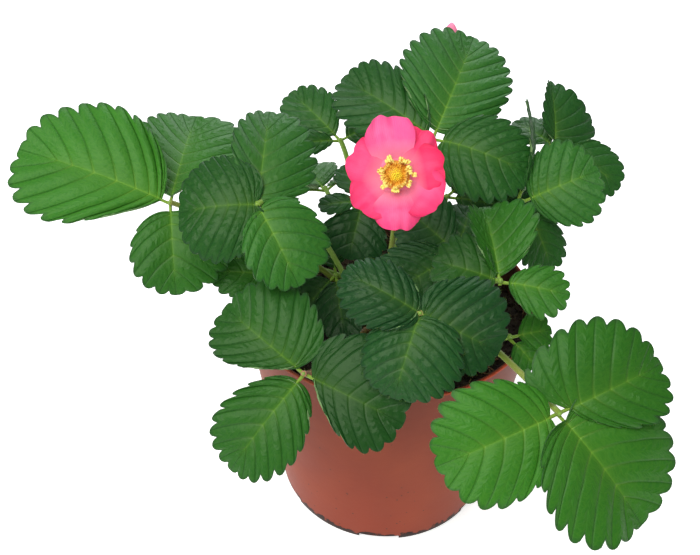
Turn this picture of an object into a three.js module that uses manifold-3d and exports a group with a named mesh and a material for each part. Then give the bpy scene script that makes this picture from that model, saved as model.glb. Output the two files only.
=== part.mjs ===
import * as THREE from 'three';
import Module from 'manifold-3d';
import { mergeVertices } from 'three/addons/utils/BufferGeometryUtils.js';

// A strawberry plant in a round plastic pot. Millimetres, +Z up.
// The origin is the middle of the pot's foot, on the surface it stands on.
// +X is the plant's right and -Y its front, the side the bloom looks to.

const wasm = await Module();
wasm.setup();

// Pot
const POT_HEIGHT = 110;
const RIM_RADIUS = 65;
const FOOT_RADIUS = 52.5;
const WALL = 1.8;
const FLOOR_LOW = 3;
const FLOOR_HIGH = 5;
const FOOT_RING = 5;
const MIDDLE_FOOT = 12;
const POT_SIDES = 36;
const NOTCHES = 6;
const NOTCH = { width: 19, height: 2.6, firstAngle: -94 };
const DRAIN = { radius: 4, ring: 34, sides: 12 };

// Soil and crown
const SOIL_TOP = 97;
const SOIL_RINGS = 5;
const SOIL_DIP = 3;
const CROWN = { radius: 15, top: 105, bottom: 72, sides: 12, petioleDepth: 8 };
// Room left between pieces that touch.
const GAP = 0.35;

// Leaves. TOOTH_START and TOOTH_FADE are shares of the way along a leaflet, TOOTH_DEPTH, VEIN_BEND,
// EDGE_DROOP and PLEAT are shares of its length, and ROUNDING makes teeth rounder as it falls.
const BLADE_THICKNESS = 0.76;
const TOOTH_START = 0.2;
const TOOTH_FADE = 0.12;
const TOOTH_DEPTH = 0.085;
const DEEPEST_NOTCH = 0.6;
const ROUNDING = 0.7;
const VEIN_SLANT = 0.72;
const VEIN_BEND = 0.1;
const EDGE_DROOP = 0.04;
const FOLD = 0.22;
const RIB_ROUND = 2;
const CUP = 0.22;
const PLEAT = 0.018;
const PLEAT_POWER = 0.6;
const TAPER = 0.48;
const KNOB_RADIUS = 2.2;
const BALL_TURN = 0.35;
const LEAFLET_START = 3.4;
const SMALL_LEAFLET = 30;
const STALK_HALF = 0.8;
const PETIOLE_RADIUS = 1.4;
const PETIOLE_SIDES = 5;
const PETIOLE_STEPS = 6;
const STALK_RADIUS = 1.1;
const RISE = 0.42;
const FALL = 0.3;
const OUTWARD_LEAN = 0.7;

// One leaf is three leaflets that meet at its hub, at the top of its petiole.
// hub: its place. face: azimuth and elevation that the upper side looks to, in degrees.
// root: radius and angle of the petiole's foot on the crown. bow: shift of the petiole's middle.
// leaflets: heading and pitch of the midrib in degrees, length, width, teeth on a side,
// arch in radians, wedge (small is round at the base), and then, where they are not 0,
// lean (a wider left side), skew (its left side is broadest nearer the base), roll in degrees.
const LEAVES = {
  left_outer: {
    hub: [-93, 4, 156], face: [-80, 48], root: [12, 178],
    leaflets: [
      [171, 12, 65, 58, 8, 0.5, 0.6, -0.18, -0.45, 6],
      [87, 9, 57, 46, 7, 0.4, 0.7],
      [-83, -49, 35, 38, 6, 0.5, 0.7],
    ],
  },
  left_inner: {
    hub: [-53, -21, 171], face: [-80, 50], root: [12, 200], bow: [0, 0, 14],
    leaflets: [
      [175, -11, 28, 36, 6, 0.8, 0.65],
      [86, 22, 46, 43, 7, 0.5, 0.58, -0.35, -0.5],
      [-51, -44, 34, 35, 6, 0.6, 0.65],
    ],
  },
  front_left: {
    hub: [-35, -65, 124], face: [-100, 50], root: [12, 242], bow: [0, 0, -9],
    leaflets: [
      [139, 15, 39, 38, 7, 0.5, 0.7, -0.15],
      [-142, -40, 43, 37, 7, 0.5, 0.7],
      [-22, -15, 36, 37, 6, 0.6, 0.7, -0.1],
    ],
  },
  front_centre: {
    hub: [8, -57, 147], face: [-90, 55], root: [12, 272], bow: [0, -6, -4],
    leaflets: [
      [-121, -47, 30, 36, 6, 0.7, 0.65, 0.1],
      [154, 13, 34, 27, 6, 0.7, 0.7],
      [-18, -17, 31, 38, 6, 0.7, 0.65, -0.1],
    ],
  },
  right_inner: {
    hub: [40, -39, 148], face: [-80, 55], root: [12, 322],
    leaflets: [
      [91, 22, 33, 29, 6, 0.4, 0.8, -0.1],
      [158, 12, 22, 26, 4, 0.5, 0.8],
      [-15, -4, 23, 22, 4, 0.4, 0.8],
    ],
  },
  top: {
    hub: [17, 16, 180], face: [-85, 45], root: [6, 45],
    leaflets: [
      [69, 25, 54, 50, 8, 0.5, 0.68, 0.05],
      [145, 15, 46, 34, 7, 0.5, 0.7],
      [-15, -10, 39, 38, 7, 0.8, 0.65, -0.1],
    ],
  },
  left_back: {
    hub: [-22, 44, 164], face: [-90, 50], root: [12, 135],
    leaflets: [
      [135, 20, 31, 26, 5, 0.4, 0.8],
      [-166, 0, 22, 14, 4, 0.4, 0.8],
      [35, 3, 12, 16, 4, 0.4, 0.8],
    ],
  },
  right: {
    hub: [53, -3, 161], face: [-60, 52], root: [12, 358], bow: [0, -3, -8],
    leaflets: [
      [8, 21, 31, 38, 6, 0.5, 0.7],
      [72, 39, 41, 18, 6, 0.5, 0.8, 0, 0, 75],
      [-53, -50, 28, 25, 5, 0.5, 0.8],
    ],
  },
  right_back: {
    hub: [76, 43, 161], face: [-60, 45], root: [12, 26],
    leaflets: [
      [76, 33, 28, 28, 5, 0.4, 0.8, -0.3],
      [-26, -23, 31, 28, 5, 0.5, 0.8],
      [131, 5, 22, 22, 4, 0.5, 0.8],
    ],
  },
  front_right: {
    hub: [57, -85, 124], face: [-70, 50], root: [12, 298],
    leaflets: [
      [24, 12, 41, 47, 7, 0.4, 0.6, 0.2, 0.3],
      [-162, -14, 45, 42, 7, 0.4, 0.65, 0, 0.25],
      [-43, -43, 50, 52, 8, 0.5, 0.6, 0.1],
    ],
  },
  rim_right: {
    hub: [47, -40, 120], face: [-70, 55], root: [12, 340],
    leaflets: [
      [11, 3, 14, 19, 4, 0.4, 0.8],
      [-49, -30, 17, 20, 4, 0.4, 0.8],
      [-170, -15, 15, 16, 4, 0.4, 0.8],
    ],
  },
  low_left: {
    hub: [-24, -4, 124], face: [-100, 50], root: [7, 190],
    leaflets: [
      [-140, -32, 23, 28, 5, 0.4, 0.8],
      [-80, -30, 26, 26, 4, 0.4, 0.8],
      [96, 20, 22, 20, 4, 0.4, 0.8],
    ],
  },
  mid_left: {
    hub: [-12, 13, 151], face: [-90, 50], root: [7, 140],
    leaflets: [
      [-175, -6, 16, 12, 4, 0.4, 0.8, 0, 0, 20],
      [118, 22, 17, 14, 4, 0.4, 0.8],
      [-110, -46, 23, 30, 5, 0.4, 0.8],
    ],
  },
  mid_right: {
    hub: [26, -17, 145], face: [-95, 55], root: [7, 325],
    leaflets: [
      [-155, -24, 28, 31, 6, 0.6, 0.75],
      [132, 24, 18, 26, 5, 0.5, 0.8],
      [72, 17, 22, 24, 5, 0.4, 0.8],
    ],
  },
  behind_right: {
    hub: [25, 17, 151], face: [-80, 50], root: [7, 5],
    leaflets: [
      [-13, -7, 37, 28, 6, 0.5, 0.8],
      [45, 11, 34, 26, 6, 0.4, 0.8],
      [-105, -39, 18, 24, 4, 0.4, 0.8],
    ],
  },
  under_left: {
    hub: [-48, -7, 126], face: [-95, 50], root: [12, 157], bow: [0, 14, -4],
    leaflets: [
      [-177, 6, 26, 22, 5, 0.5, 0.8],
      [-100, -40, 22, 24, 4, 0.5, 0.8],
      [100, -15, 22, 20, 4, 0.5, 0.8],
    ],
  },
  back_left: {
    hub: [-30, 62, 128], face: [115, 55], root: [12, 115],
    leaflets: [
      [120, -15, 40, 38, 6, 0.6, 0.8],
      [-165, -5, 28, 30, 4, 0.5, 0.8],
      [40, -5, 26, 28, 4, 0.5, 0.8],
    ],
  },
  back_middle: {
    hub: [12, 72, 134], face: [85, 50], root: [12, 84],
    leaflets: [
      [88, -15, 42, 40, 6, 0.6, 0.8],
      [170, -5, 26, 28, 4, 0.5, 0.8],
      [10, -5, 28, 30, 4, 0.5, 0.8],
    ],
  },
  back_right: {
    hub: [50, 62, 126], face: [60, 50], root: [12, 56],
    leaflets: [
      [55, -15, 38, 36, 6, 0.6, 0.8],
      [130, -5, 26, 28, 4, 0.5, 0.8],
      [-20, -5, 26, 28, 4, 0.5, 0.8],
    ],
  },
};

// Flower and bud
const FLOWER = { centre: [-1, -28, 188], face: [-94, 32], root: [7, 245], bow: [4, 2, 0] };
const FLOWER_DISC = { radius: 4.5, half: 0.9 };
const PETAL = { claw: 2, width: 18, thickness: 0.7, rows: 3, columns: 4, ruffle: 0.7, bulge: 2.2, flat: 0.2 };
// Angle round the flower in degrees, counted from its right, lift over the lowest, and length.
const PETALS = [
  [103, 2.4, 19.5],
  [55, 1.2, 18],
  [10, 0, 16],
  [-32, 1.6, 16.5],
  [-88, 2.4, 18.5],
  [-138, 0.4, 17],
  [160, 1.4, 17],
];
const SEPALS = { count: 10, length: 12, width: 5, thickness: 0.8, turn: 12, droop: 2, inner: 0.8 };
const CALYX_CUP = { radius: 4.2, depth: 4, neck: 2 };
const RECEPTACLE = { low: 1.4, radius: 4, height: 3.6, sides: 12 };
const STAMENS = { count: 15, ring: 5.6, filament: 0.35, anther: 0.85, height: 3.2, near: -0.2, far: 0.9 };
const BUD = { centre: [27, 66, 203], face: [80, 60], root: [6, 95], bow: [0, 8, 0], radius: 3.6 };

const GREEN = material(0x3a7030, 0.55);
const PALE_GREEN = material(0x8fae62, 0.6);
const SEPAL_GREEN = material(0x5c8c3c, 0.65);
const PINK = material(0xf5377f, 0.5);
const YELLOW = material(0xe0b23a, 0.7);
const TERRACOTTA = material(0x96503a, 0.45);
const SOIL_BROWN = material(0x2f2620, 0.95);
const CROWN_BROWN = material(0x6a5a3c, 0.9);

function material(color, roughness) {
  return new THREE.MeshStandardMaterial({ color, roughness, metalness: 0 });
}

// Small vector helpers

const radians = THREE.MathUtils.degToRad;
const vector = (x, y, z) => new THREE.Vector3(x, y, z);

function heading(azimuth, elevation) {
  const a = radians(azimuth);
  const e = radians(elevation);
  return vector(Math.cos(e) * Math.cos(a), Math.cos(e) * Math.sin(a), Math.sin(e));
}

// A matrix whose X runs along direction and whose Z leans to face as nearly as it can.
function frameOf(origin, direction, face, roll = 0) {
  const x = direction.clone().normalize();
  const z = face.clone().addScaledVector(x, -face.dot(x)).normalize();
  z.applyAxisAngle(x, radians(roll));
  const y = z.clone().cross(x);
  return new THREE.Matrix4().makeBasis(x, y, z).setPosition(origin);
}

// Solids

function toSolid(geometry) {
  const bare = geometry.clone();
  bare.deleteAttribute('normal');
  bare.deleteAttribute('uv');
  const merged = mergeVertices(bare, 1e-4);
  return new wasm.Manifold(new wasm.Mesh({
    numProp: 3,
    vertProperties: new Float32Array(merged.attributes.position.array),
    triVerts: new Uint32Array(merged.index.array),
  }));
}

function toGeometry(solid) {
  const mesh = solid.getMesh();
  const geometry = new THREE.BufferGeometry();
  geometry.setAttribute('position', new THREE.BufferAttribute(new Float32Array(mesh.vertProperties), 3));
  geometry.setIndex(new THREE.BufferAttribute(new Uint32Array(mesh.triVerts), 1));
  geometry.computeVertexNormals();
  return geometry;
}

const join = (solids) => solids.reduce((sum, solid) => sum.add(solid));
const cut = (solid, cutters) => cutters.reduce((rest, cutter) => rest.subtract(cutter), solid);

// The main body of a solid, without the crumbs that a cut can leave.
function largest(solid) {
  return solid.decompose().sort((a, b) => b.volume() - a.volume())[0];
}

const lathe = (pairs, sides) => toSolid(
  new THREE.LatheGeometry(pairs.map(([r, z]) => new THREE.Vector2(r, z)), sides).rotateX(Math.PI / 2),
);

function polygon(radius, sides) {
  const corners = [];
  for (let i = 0; i < sides; i += 1) {
    const angle = i / sides * 2 * Math.PI;
    corners.push(new THREE.Vector2(radius * Math.cos(angle), radius * Math.sin(angle)));
  }
  return new THREE.Shape(corners);
}

function tube(curve, radius, sides, steps) {
  const geometry = new THREE.ExtrudeGeometry(polygon(radius, sides), {
    steps,
    bevelEnabled: false,
    extrudePath: curve,
  });
  return toSolid(geometry);
}

// A ball, turned a little so that its corners miss the planes of the blades that meet in it.
function ball(radius, centre, detail = 1) {
  const geometry = new THREE.OctahedronGeometry(radius, detail);
  geometry.rotateX(BALL_TURN);
  geometry.rotateZ(BALL_TURN);
  geometry.translate(centre.x, centre.y, centre.z);
  return toSolid(geometry);
}

function indexedSolid(points, index) {
  const geometry = new THREE.BufferGeometry();
  geometry.setFromPoints(points);
  geometry.setIndex(index);
  return toSolid(geometry);
}

// A thin sheet: points(thickness side) gives its vertices, triangles are its upper face,
// and rim is its outline, counter-clockwise seen from above.
function sheet(points, triangles, rim) {
  const count = points(1).length;
  const index = [];
  for (const [a, b, c] of triangles) {
    index.push(a, b, c, count + a, count + c, count + b);
  }
  rim.forEach((a, i) => {
    const b = rim[(i + 1) % rim.length];
    index.push(a, count + a, count + b, a, count + b, b);
  });
  return indexedSolid([...points(1), ...points(-1)], index);
}

// Leaflets

// A flat leaflet's point, moved onto the arch that its midrib follows from base to tip.
function arched({ length, arch }, x, y, z) {
  const bend = length / (2 * Math.sin(arch / 2));
  const angle = arch * (x / length - 0.5);
  return vector(
    (bend + z) * Math.sin(angle) + bend * Math.sin(arch / 2),
    y,
    (bend + z) * Math.cos(angle) - bend * Math.cos(arch / 2),
  );
}

// The outline swells as x^wedge (1-x)^TAPER. t runs from the base to the tip and u from -1 to 1
// across, at the rate that puts a tooth's tip halfway between two whole phases.
function leafletPoint(leaflet, t, u, lift = 0) {
  const { length, width, teeth, wedge, lean, skew } = leaflet;
  const side = Math.sign(u);
  const across = Math.abs(u);
  const along = (1 - Math.cos(Math.PI * t)) / 2;
  const power = wedge * (1 - skew * side);
  const peak = (power / (power + TAPER)) ** power * (TAPER / (power + TAPER)) ** TAPER;
  const swell = along ** power * (1 - along) ** TAPER / peak;
  const half = width / 2 * swell;
  const phase = (t - TOOTH_START) / (1 - TOOTH_START) * (teeth + 0.5);
  const fade = THREE.MathUtils.clamp((t - TOOTH_START) / TOOTH_FADE, 0, 1);
  const notch = (1 - Math.abs(Math.sin(Math.PI * phase)) ** ROUNDING) * fade;
  const root = Math.max(along * length - VEIN_SLANT * half - VEIN_BEND * length * along ** 4, 1);
  const forward = along * length - root;
  const vein = Math.max(Math.hypot(forward, half), 1e-6);
  const reach = 1 - Math.min(TOOTH_DEPTH * length / vein, DEEPEST_NOTCH) * notch;
  const x = root + forward * reach * across - EDGE_DROOP * length * across * (1 - across) * swell;
  const y = side * half * reach * across * (1 + side * lean);
  const pleat = PLEAT * length * across ** PLEAT_POWER * Math.min(1, swell * 1.5);
  const ridge = pleat * Math.abs(Math.cos(Math.PI * phase));
  const fold = FOLD * (Math.hypot(y, RIB_ROUND) - RIB_ROUND) - CUP * y * y / (width / 2);
  return arched(leaflet, x, y, fold + ridge + lift);
}

// Rows of t from the base: one on the plain edge, then every notch and tooth tip up to the end.
function leafletRows(teeth) {
  const rows = [TOOTH_START / 2];
  for (let k = 0; k <= 2 * teeth + 1; k += 1) {
    rows.push(TOOTH_START + k / (2 * teeth + 1) * (1 - TOOTH_START));
  }
  return rows;
}

// A leaflet with the short bar that joins it to the hub. Each side of the rib has the whole
// edge, and the rib and a line halfway out have a point at every second notch. A small
// leaflet has no halfway line.
function leafletSolid(leaflet, place) {
  const { teeth } = leaflet;
  const rows = leafletRows(teeth);
  const grid = [];
  const add = (t, u) => grid.push([t, u]) - 1;
  const spineRows = [];
  for (let tooth = 0; tooth < teeth; tooth += 2) spineRows.push(rows[2 * tooth + 1]);
  spineRows.push(rows[2 * teeth + 1]);
  const rib = spineRows.map((t) => add(t, 0));
  const ribEnd = add(1, 0);
  const tip = add(1, 1);
  const triangles = [];
  const rims = {};
  for (const side of [1, -1]) {
    const bar = add(0, side);
    const edge = rows.slice(0, -1).map((t) => add(t, side));
    edge.push(tip);
    const middle = leaflet.length > SMALL_LEAFLET ? spineRows.map((t) => add(t, side / 2)) : rib;
    const face = (a, b, c) => {
      if (a !== b) triangles.push(side > 0 ? [a, c, b] : [a, b, c]);
    };
    face(rib[0], bar, edge[0]);
    face(rib[0], edge[0], middle[0]);
    face(edge[0], edge[1], middle[0]);
    let spine = 0;
    for (let tooth = 0; tooth < teeth; tooth += 1) {
      const [notch, point, next] = edge.slice(2 * tooth + 1, 2 * tooth + 4);
      face(middle[spine], notch, point);
      if (tooth % 2 === 1 || tooth === teeth - 1) {
        face(rib[spine], middle[spine], middle[spine + 1]);
        face(middle[spine + 1], rib[spine + 1], rib[spine]);
        face(middle[spine], point, middle[spine + 1]);
        spine += 1;
      }
      face(middle[spine], point, next);
    }
    face(rib[spine], middle[spine], ribEnd);
    face(middle[spine], tip, ribEnd);
    face(middle[spine], edge[edge.length - 2], tip);
    rims[side] = [bar, ...edge];
  }
  const hubEnds = { 1: add(-1, 1), [-1]: add(-1, -1) };
  triangles.push([hubEnds[1], hubEnds[-1], rims[-1][0]], [hubEnds[1], rims[-1][0], rims[1][0]]);
  triangles.push([rims[1][0], rims[-1][0], rib[0]]);
  const rim = [hubEnds[-1], ...rims[-1], ...rims[1].slice(0, -1).reverse(), hubEnds[1]];
  const points = (thicknessSide) => grid.map(([t, u]) => {
    const lift = thicknessSide * BLADE_THICKNESS / 2;
    if (t > 0) return leafletPoint(leaflet, t, u, lift).applyMatrix4(place);
    const x = t < 0 ? -LEAFLET_START : 0;
    return vector(x, u * STALK_HALF, lift).applyMatrix4(place);
  });
  return sheet(points, triangles, rim);
}

function leafletOf(leaf, row) {
  const [azimuth, pitch, length, width, teeth, arch, wedge, lean = 0, skew = 0, roll = 0] = row;
  const direction = heading(azimuth, pitch);
  const base = vector(...leaf.hub).addScaledVector(direction, LEAFLET_START);
  const place = frameOf(base, direction, heading(...leaf.face), roll);
  return leafletSolid({ length, width, teeth, arch, wedge, lean, skew }, place);
}

// Petioles and stalks rise from the crown and bend over to end under what they carry.

function stalkCurve(root, end, arrival, bow = [0, 0, 0]) {
  const foot = heading(root[1], 0).multiplyScalar(root[0]).setZ(CROWN.top - CROWN.petioleDepth);
  const reach = foot.distanceTo(end);
  const shift = vector(...bow);
  const rise = vector(foot.x, foot.y, 2 * CROWN.radius).setLength(reach * RISE).add(foot).add(shift);
  const fall = end.clone().addScaledVector(arrival, -reach * FALL).add(shift);
  return new THREE.CubicBezierCurve3(foot, rise, fall, end);
}

function petioleCurve(leaf) {
  const hub = vector(...leaf.hub);
  const outward = vector(hub.x, hub.y, 0).setLength(OUTWARD_LEAN);
  const arrival = heading(...leaf.face).add(outward).normalize();
  return stalkCurve(leaf.root, hub.clone().addScaledVector(arrival, 1 - KNOB_RADIUS), arrival, leaf.bow);
}

const stalkTube = (curve, radius) => tube(curve, radius, PETIOLE_SIDES, PETIOLE_STEPS);

// The room that a stalk takes in the pieces it stands in, with the gap all round and at both ends.
function stalkHole(curve, radius) {
  const foot = curve.v0.clone().addScaledVector(curve.getTangent(0), -GAP);
  const end = curve.v3.clone().addScaledVector(curve.getTangent(1), GAP);
  const longer = new THREE.CubicBezierCurve3(foot, curve.v1, curve.v2, end);
  return stalkTube(longer, radius + GAP / Math.cos(Math.PI / PETIOLE_SIDES));
}

function leafBlades(leaf, hole) {
  const leaflets = leaf.leaflets.map((row) => leafletOf(leaf, row));
  const knob = ball(KNOB_RADIUS, vector(...leaf.hub));
  return largest(cut(join([knob, ...leaflets]), [hole]));
}

// Pot, soil and crown

const outerRadius = (z) => FOOT_RADIUS + (RIM_RADIUS - FOOT_RADIUS) * z / POT_HEIGHT;

function pot() {
  const wall = lathe([
    [0, 0],
    [MIDDLE_FOOT, 0],
    [MIDDLE_FOOT + 1, FLOOR_LOW],
    [FOOT_RADIUS - FOOT_RING, FLOOR_LOW],
    [FOOT_RADIUS - FOOT_RING + 0.8, 0],
    [FOOT_RADIUS - 0.6, 0],
    [outerRadius(0.6), 0.6],
    [RIM_RADIUS, POT_HEIGHT - 0.6],
    [RIM_RADIUS - 0.6, POT_HEIGHT],
    [RIM_RADIUS - WALL + 0.3, POT_HEIGHT],
    [RIM_RADIUS - WALL, POT_HEIGHT - 0.6],
    [outerRadius(FLOOR_HIGH) - WALL, FLOOR_HIGH],
    [0, FLOOR_HIGH],
  ], POT_SIDES);
  const step = 360 / NOTCHES;
  const cutters = [];
  for (let i = 0; i < NOTCHES; i += 1) {
    const angle = NOTCH.firstAngle + i * step;
    const notch = new THREE.BoxGeometry(4 * FOOT_RING, NOTCH.width, 2 * NOTCH.height);
    notch.translate(FOOT_RADIUS, 0, 0);
    notch.rotateZ(radians(angle));
    const drain = new THREE.CylinderGeometry(DRAIN.radius, DRAIN.radius, 3 * FLOOR_HIGH, DRAIN.sides);
    drain.rotateX(Math.PI / 2);
    const place = heading(angle + step / 2, 0).multiplyScalar(DRAIN.ring);
    drain.translate(place.x, place.y, FLOOR_LOW);
    cutters.push(toSolid(notch), toSolid(drain));
  }
  return cut(wall, cutters);
}

// Soil is loose: broad humps, small lumps, and a bank towards the back wall.
const soilHeight = (x, y) => SOIL_TOP + 1.2 * Math.sin(x / 9 + 1) * Math.cos(y / 7)
  + 0.8 * Math.sin(x / 4.3 - y / 5.1) + 2.5 * THREE.MathUtils.smoothstep(y, 20, 60);

function soil() {
  const low = FLOOR_HIGH + GAP;
  const points = [vector(0, 0, soilHeight(0, 0)), vector(0, 0, low)];
  const index = [];
  const ringStart = (ring) => 2 + (ring - 1) * POT_SIDES;
  const lowEdge = outerRadius(low) - WALL - GAP;
  const highEdge = outerRadius(SOIL_TOP - SOIL_DIP) - WALL - GAP;
  for (let ring = 1; ring <= SOIL_RINGS + 1; ring += 1) {
    const bottom = ring > SOIL_RINGS;
    const radius = bottom ? lowEdge : highEdge * ring / SOIL_RINGS;
    for (let i = 0; i < POT_SIDES; i += 1) {
      const angle = i / POT_SIDES * 2 * Math.PI;
      const x = Math.sin(angle) * radius;
      const y = -Math.cos(angle) * radius;
      points.push(vector(x, y, bottom ? low : soilHeight(x, y)));
      const next = (i + 1) % POT_SIDES;
      const here = ringStart(ring);
      if (ring === 1) {
        index.push(0, here + i, here + next);
      } else {
        const inner = ringStart(ring - 1);
        index.push(inner + i, here + i, here + next, inner + i, here + next, inner + next);
      }
      if (bottom) index.push(1, here + next, here + i);
    }
  }
  return indexedSolid(points, index);
}

function crown(grow = 0) {
  const { radius, top, bottom } = CROWN;
  return lathe([
    [0, bottom - grow],
    [radius * 0.5 + grow, bottom - grow],
    [radius * 0.9 + grow, 84],
    [radius + grow, 93],
    [radius * 0.92 + grow, 100],
    [radius * 0.5, top + grow],
    [0, top + 1 + grow],
  ], CROWN.sides);
}

// Flower and bud

// A point of a petal: t from its claw to its edge, u from -1 to 1 across. X is outward, Z to the front.
function petalPoint(number, t, u, side) {
  const { claw, width, thickness, ruffle, bulge, flat } = PETAL;
  const [, lift, length] = PETALS[number];
  const spread = Math.sin(Math.PI * (0.08 + 0.66 * t)) ** 0.8;
  const rise = Math.max(0, (t - flat) / (1 - flat));
  const y = u * width / 2 * spread;
  const x = claw + length * t * (1 - 0.16 * u * u * t);
  const wave = ruffle * Math.sin(3.2 * u + 2.1 * number) * t * t;
  const cup = bulge * Math.sin(Math.PI * rise * 0.8) - 0.02 * y * y * rise;
  return vector(x, y, lift * (0.12 + 0.88 * rise) + cup + wave + side * thickness / 2);
}

// A sheet over a grid of t from 0 to 1 and u from -1 to 1.
function gridSheet(rows, columns, point) {
  const at = (row, column) => row * (columns + 1) + column;
  const triangles = [];
  for (let row = 0; row < rows; row += 1) {
    for (let column = 0; column < columns; column += 1) {
      const a = at(row, column);
      const b = at(row + 1, column);
      const c = at(row + 1, column + 1);
      const d = at(row, column + 1);
      triangles.push([a, b, c], [a, c, d]);
    }
  }
  const rim = [];
  for (let row = 0; row < rows; row += 1) rim.push(at(row, 0));
  for (let column = 0; column < columns; column += 1) rim.push(at(rows, column));
  for (let row = rows; row > 0; row -= 1) rim.push(at(row, columns));
  for (let column = columns; column > 0; column -= 1) rim.push(at(0, column));
  const points = (side) => {
    const list = [];
    for (let row = 0; row <= rows; row += 1) {
      for (let column = 0; column <= columns; column += 1) {
        list.push(point(row / rows, 2 * column / columns - 1, side));
      }
    }
    return list;
  };
  return sheet(points, triangles, rim);
}

// The flower's own frame: X to its right, Y up the face, Z out to the front.
function flowerFrame(centre, face) {
  const front = heading(...face);
  const right = vector(0, 0, 1).cross(front).normalize();
  return frameOf(vector(...centre), right, front);
}

const turned = (degrees) => new THREE.Matrix4().makeRotationZ(radians(degrees));

function flowerPetals(frame) {
  const { radius, half } = FLOWER_DISC;
  const disc = lathe([[0, -half], [radius, -half], [radius, half], [0, half]], RECEPTACLE.sides);
  const petals = PETALS.map(([angle], number) => {
    const place = frame.clone().multiply(turned(angle));
    const point = (t, u, side) => petalPoint(number, t, u, side).applyMatrix4(place);
    return gridSheet(PETAL.rows, PETAL.columns, point);
  });
  return join([disc.transform(frame.elements), ...petals]);
}

function flowerCentre(frame) {
  const { low, radius, height, sides } = RECEPTACLE;
  const collar = STAMENS.ring - 0.4;
  const dome = lathe([
    [0, low],
    [collar, low],
    [collar, low + 1],
    [radius, low + 1.6],
    [radius * 0.75, low + height * 0.8],
    [0, low + height],
  ], sides).transform(frame.elements);
  const stamens = [];
  for (let i = 0; i < STAMENS.count; i += 1) {
    const around = heading(i * 360 / STAMENS.count, 0);
    const ring = STAMENS.ring + (i % 2 ? STAMENS.far : STAMENS.near);
    const foot = around.clone().multiplyScalar(STAMENS.ring - 1).setZ(low + 0.5).applyMatrix4(frame);
    const high = low + STAMENS.height + (i % 3) * 0.4;
    const head = around.multiplyScalar(ring).setZ(high).applyMatrix4(frame);
    stamens.push(tube(new THREE.LineCurve3(foot, head), STAMENS.filament, 3, 1));
    stamens.push(ball(STAMENS.anther, head, 0));
  }
  return join([dome, ...stamens]);
}

function flowerCalyx(frame) {
  const { count, length, width, thickness, turn, droop, inner } = SEPALS;
  const { radius, depth, neck } = CALYX_CUP;
  const high = -FLOWER_DISC.half - GAP;
  const sepals = [];
  for (let i = 0; i < count; i += 1) {
    const size = i % 2 ? inner : 1;
    const place = frame.clone().multiply(turned(i * 360 / count + turn));
    sepals.push(gridSheet(2, 1, (t, u, side) => {
      const across = u * width / 2 * size * (1 - t * t * 0.9);
      const down = high - 0.5 - droop * t * t + side * thickness / 2;
      return vector(1 + length * size * t, across, down).applyMatrix4(place);
    }));
  }
  const profile = [[0, high - depth], [neck, high - depth], [radius, high - 1.6], [radius, high], [0, high]];
  return join([lathe(profile, RECEPTACLE.sides).transform(frame.elements), ...sepals]);
}

function bud(frame) {
  const { radius } = BUD;
  return lathe([
    [0, -radius],
    [radius * 0.7, -radius * 0.75],
    [radius, 0],
    [radius * 0.8, radius * 0.9],
    [radius * 0.3, radius * 1.6],
    [0, radius * 1.75],
  ], 10).transform(frame.elements);
}

// The plant

const group = new THREE.Group();

function addNode(name, solid, look) {
  const mesh = new THREE.Mesh(toGeometry(solid), look);
  mesh.name = name;
  group.add(mesh);
}

// Adds a stalk and gives the hole it needs in its neighbours.
const holes = [];
function addStalk(name, curve, radius) {
  addNode(name, stalkTube(curve, radius), PALE_GREEN);
  const hole = stalkHole(curve, radius);
  holes.push(hole);
  return hole;
}

for (const [name, leaf] of Object.entries(LEAVES)) {
  const hole = addStalk(`petiole_${name}`, petioleCurve(leaf), PETIOLE_RADIUS);
  addNode(`leaf_${name}`, leafBlades(leaf, hole), GREEN);
}

const flowerPlace = flowerFrame(FLOWER.centre, FLOWER.face);
const calyxBack = vector(0, 0, -FLOWER_DISC.half - CALYX_CUP.depth + GAP).applyMatrix4(flowerPlace);
const flowerCurve = stalkCurve(FLOWER.root, calyxBack, heading(...FLOWER.face), FLOWER.bow);
const flowerHole = addStalk('flower_stalk', flowerCurve, STALK_RADIUS);
addNode('flower_calyx', cut(flowerCalyx(flowerPlace), [flowerHole]), SEPAL_GREEN);
addNode('flower_petals', flowerPetals(flowerPlace), PINK);
addNode('flower_centre', flowerCentre(flowerPlace), YELLOW);

const budPlace = flowerFrame(BUD.centre, BUD.face);
const budBack = vector(0, 0, 1 - BUD.radius).applyMatrix4(budPlace);
const budCurve = stalkCurve(BUD.root, budBack, heading(...BUD.face), BUD.bow);
const budHole = addStalk('bud_stalk', budCurve, STALK_RADIUS);
addNode('bud', cut(bud(budPlace), [budHole]), SEPAL_GREEN);

addNode('crown', largest(cut(crown(), holes)), CROWN_BROWN);
addNode('soil', largest(cut(soil(), [crown(GAP), ...holes])), SOIL_BROWN);
addNode('pot', pot(), TERRACOTTA);

export default group;
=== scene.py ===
# %% [markdown]
# A potted strawberry plant
#
# This lesson dresses a plain model of a strawberry plant: leaves in threes on long stalks, one pink
# flower, a bud, a crown in dark soil, and a brown plastic pot. The plain model gives each piece its
# place and size, and every step here makes one piece as it looks on the real plant.

# %% The frame
import math

import bpy
from mathutils import Matrix, Vector


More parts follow.
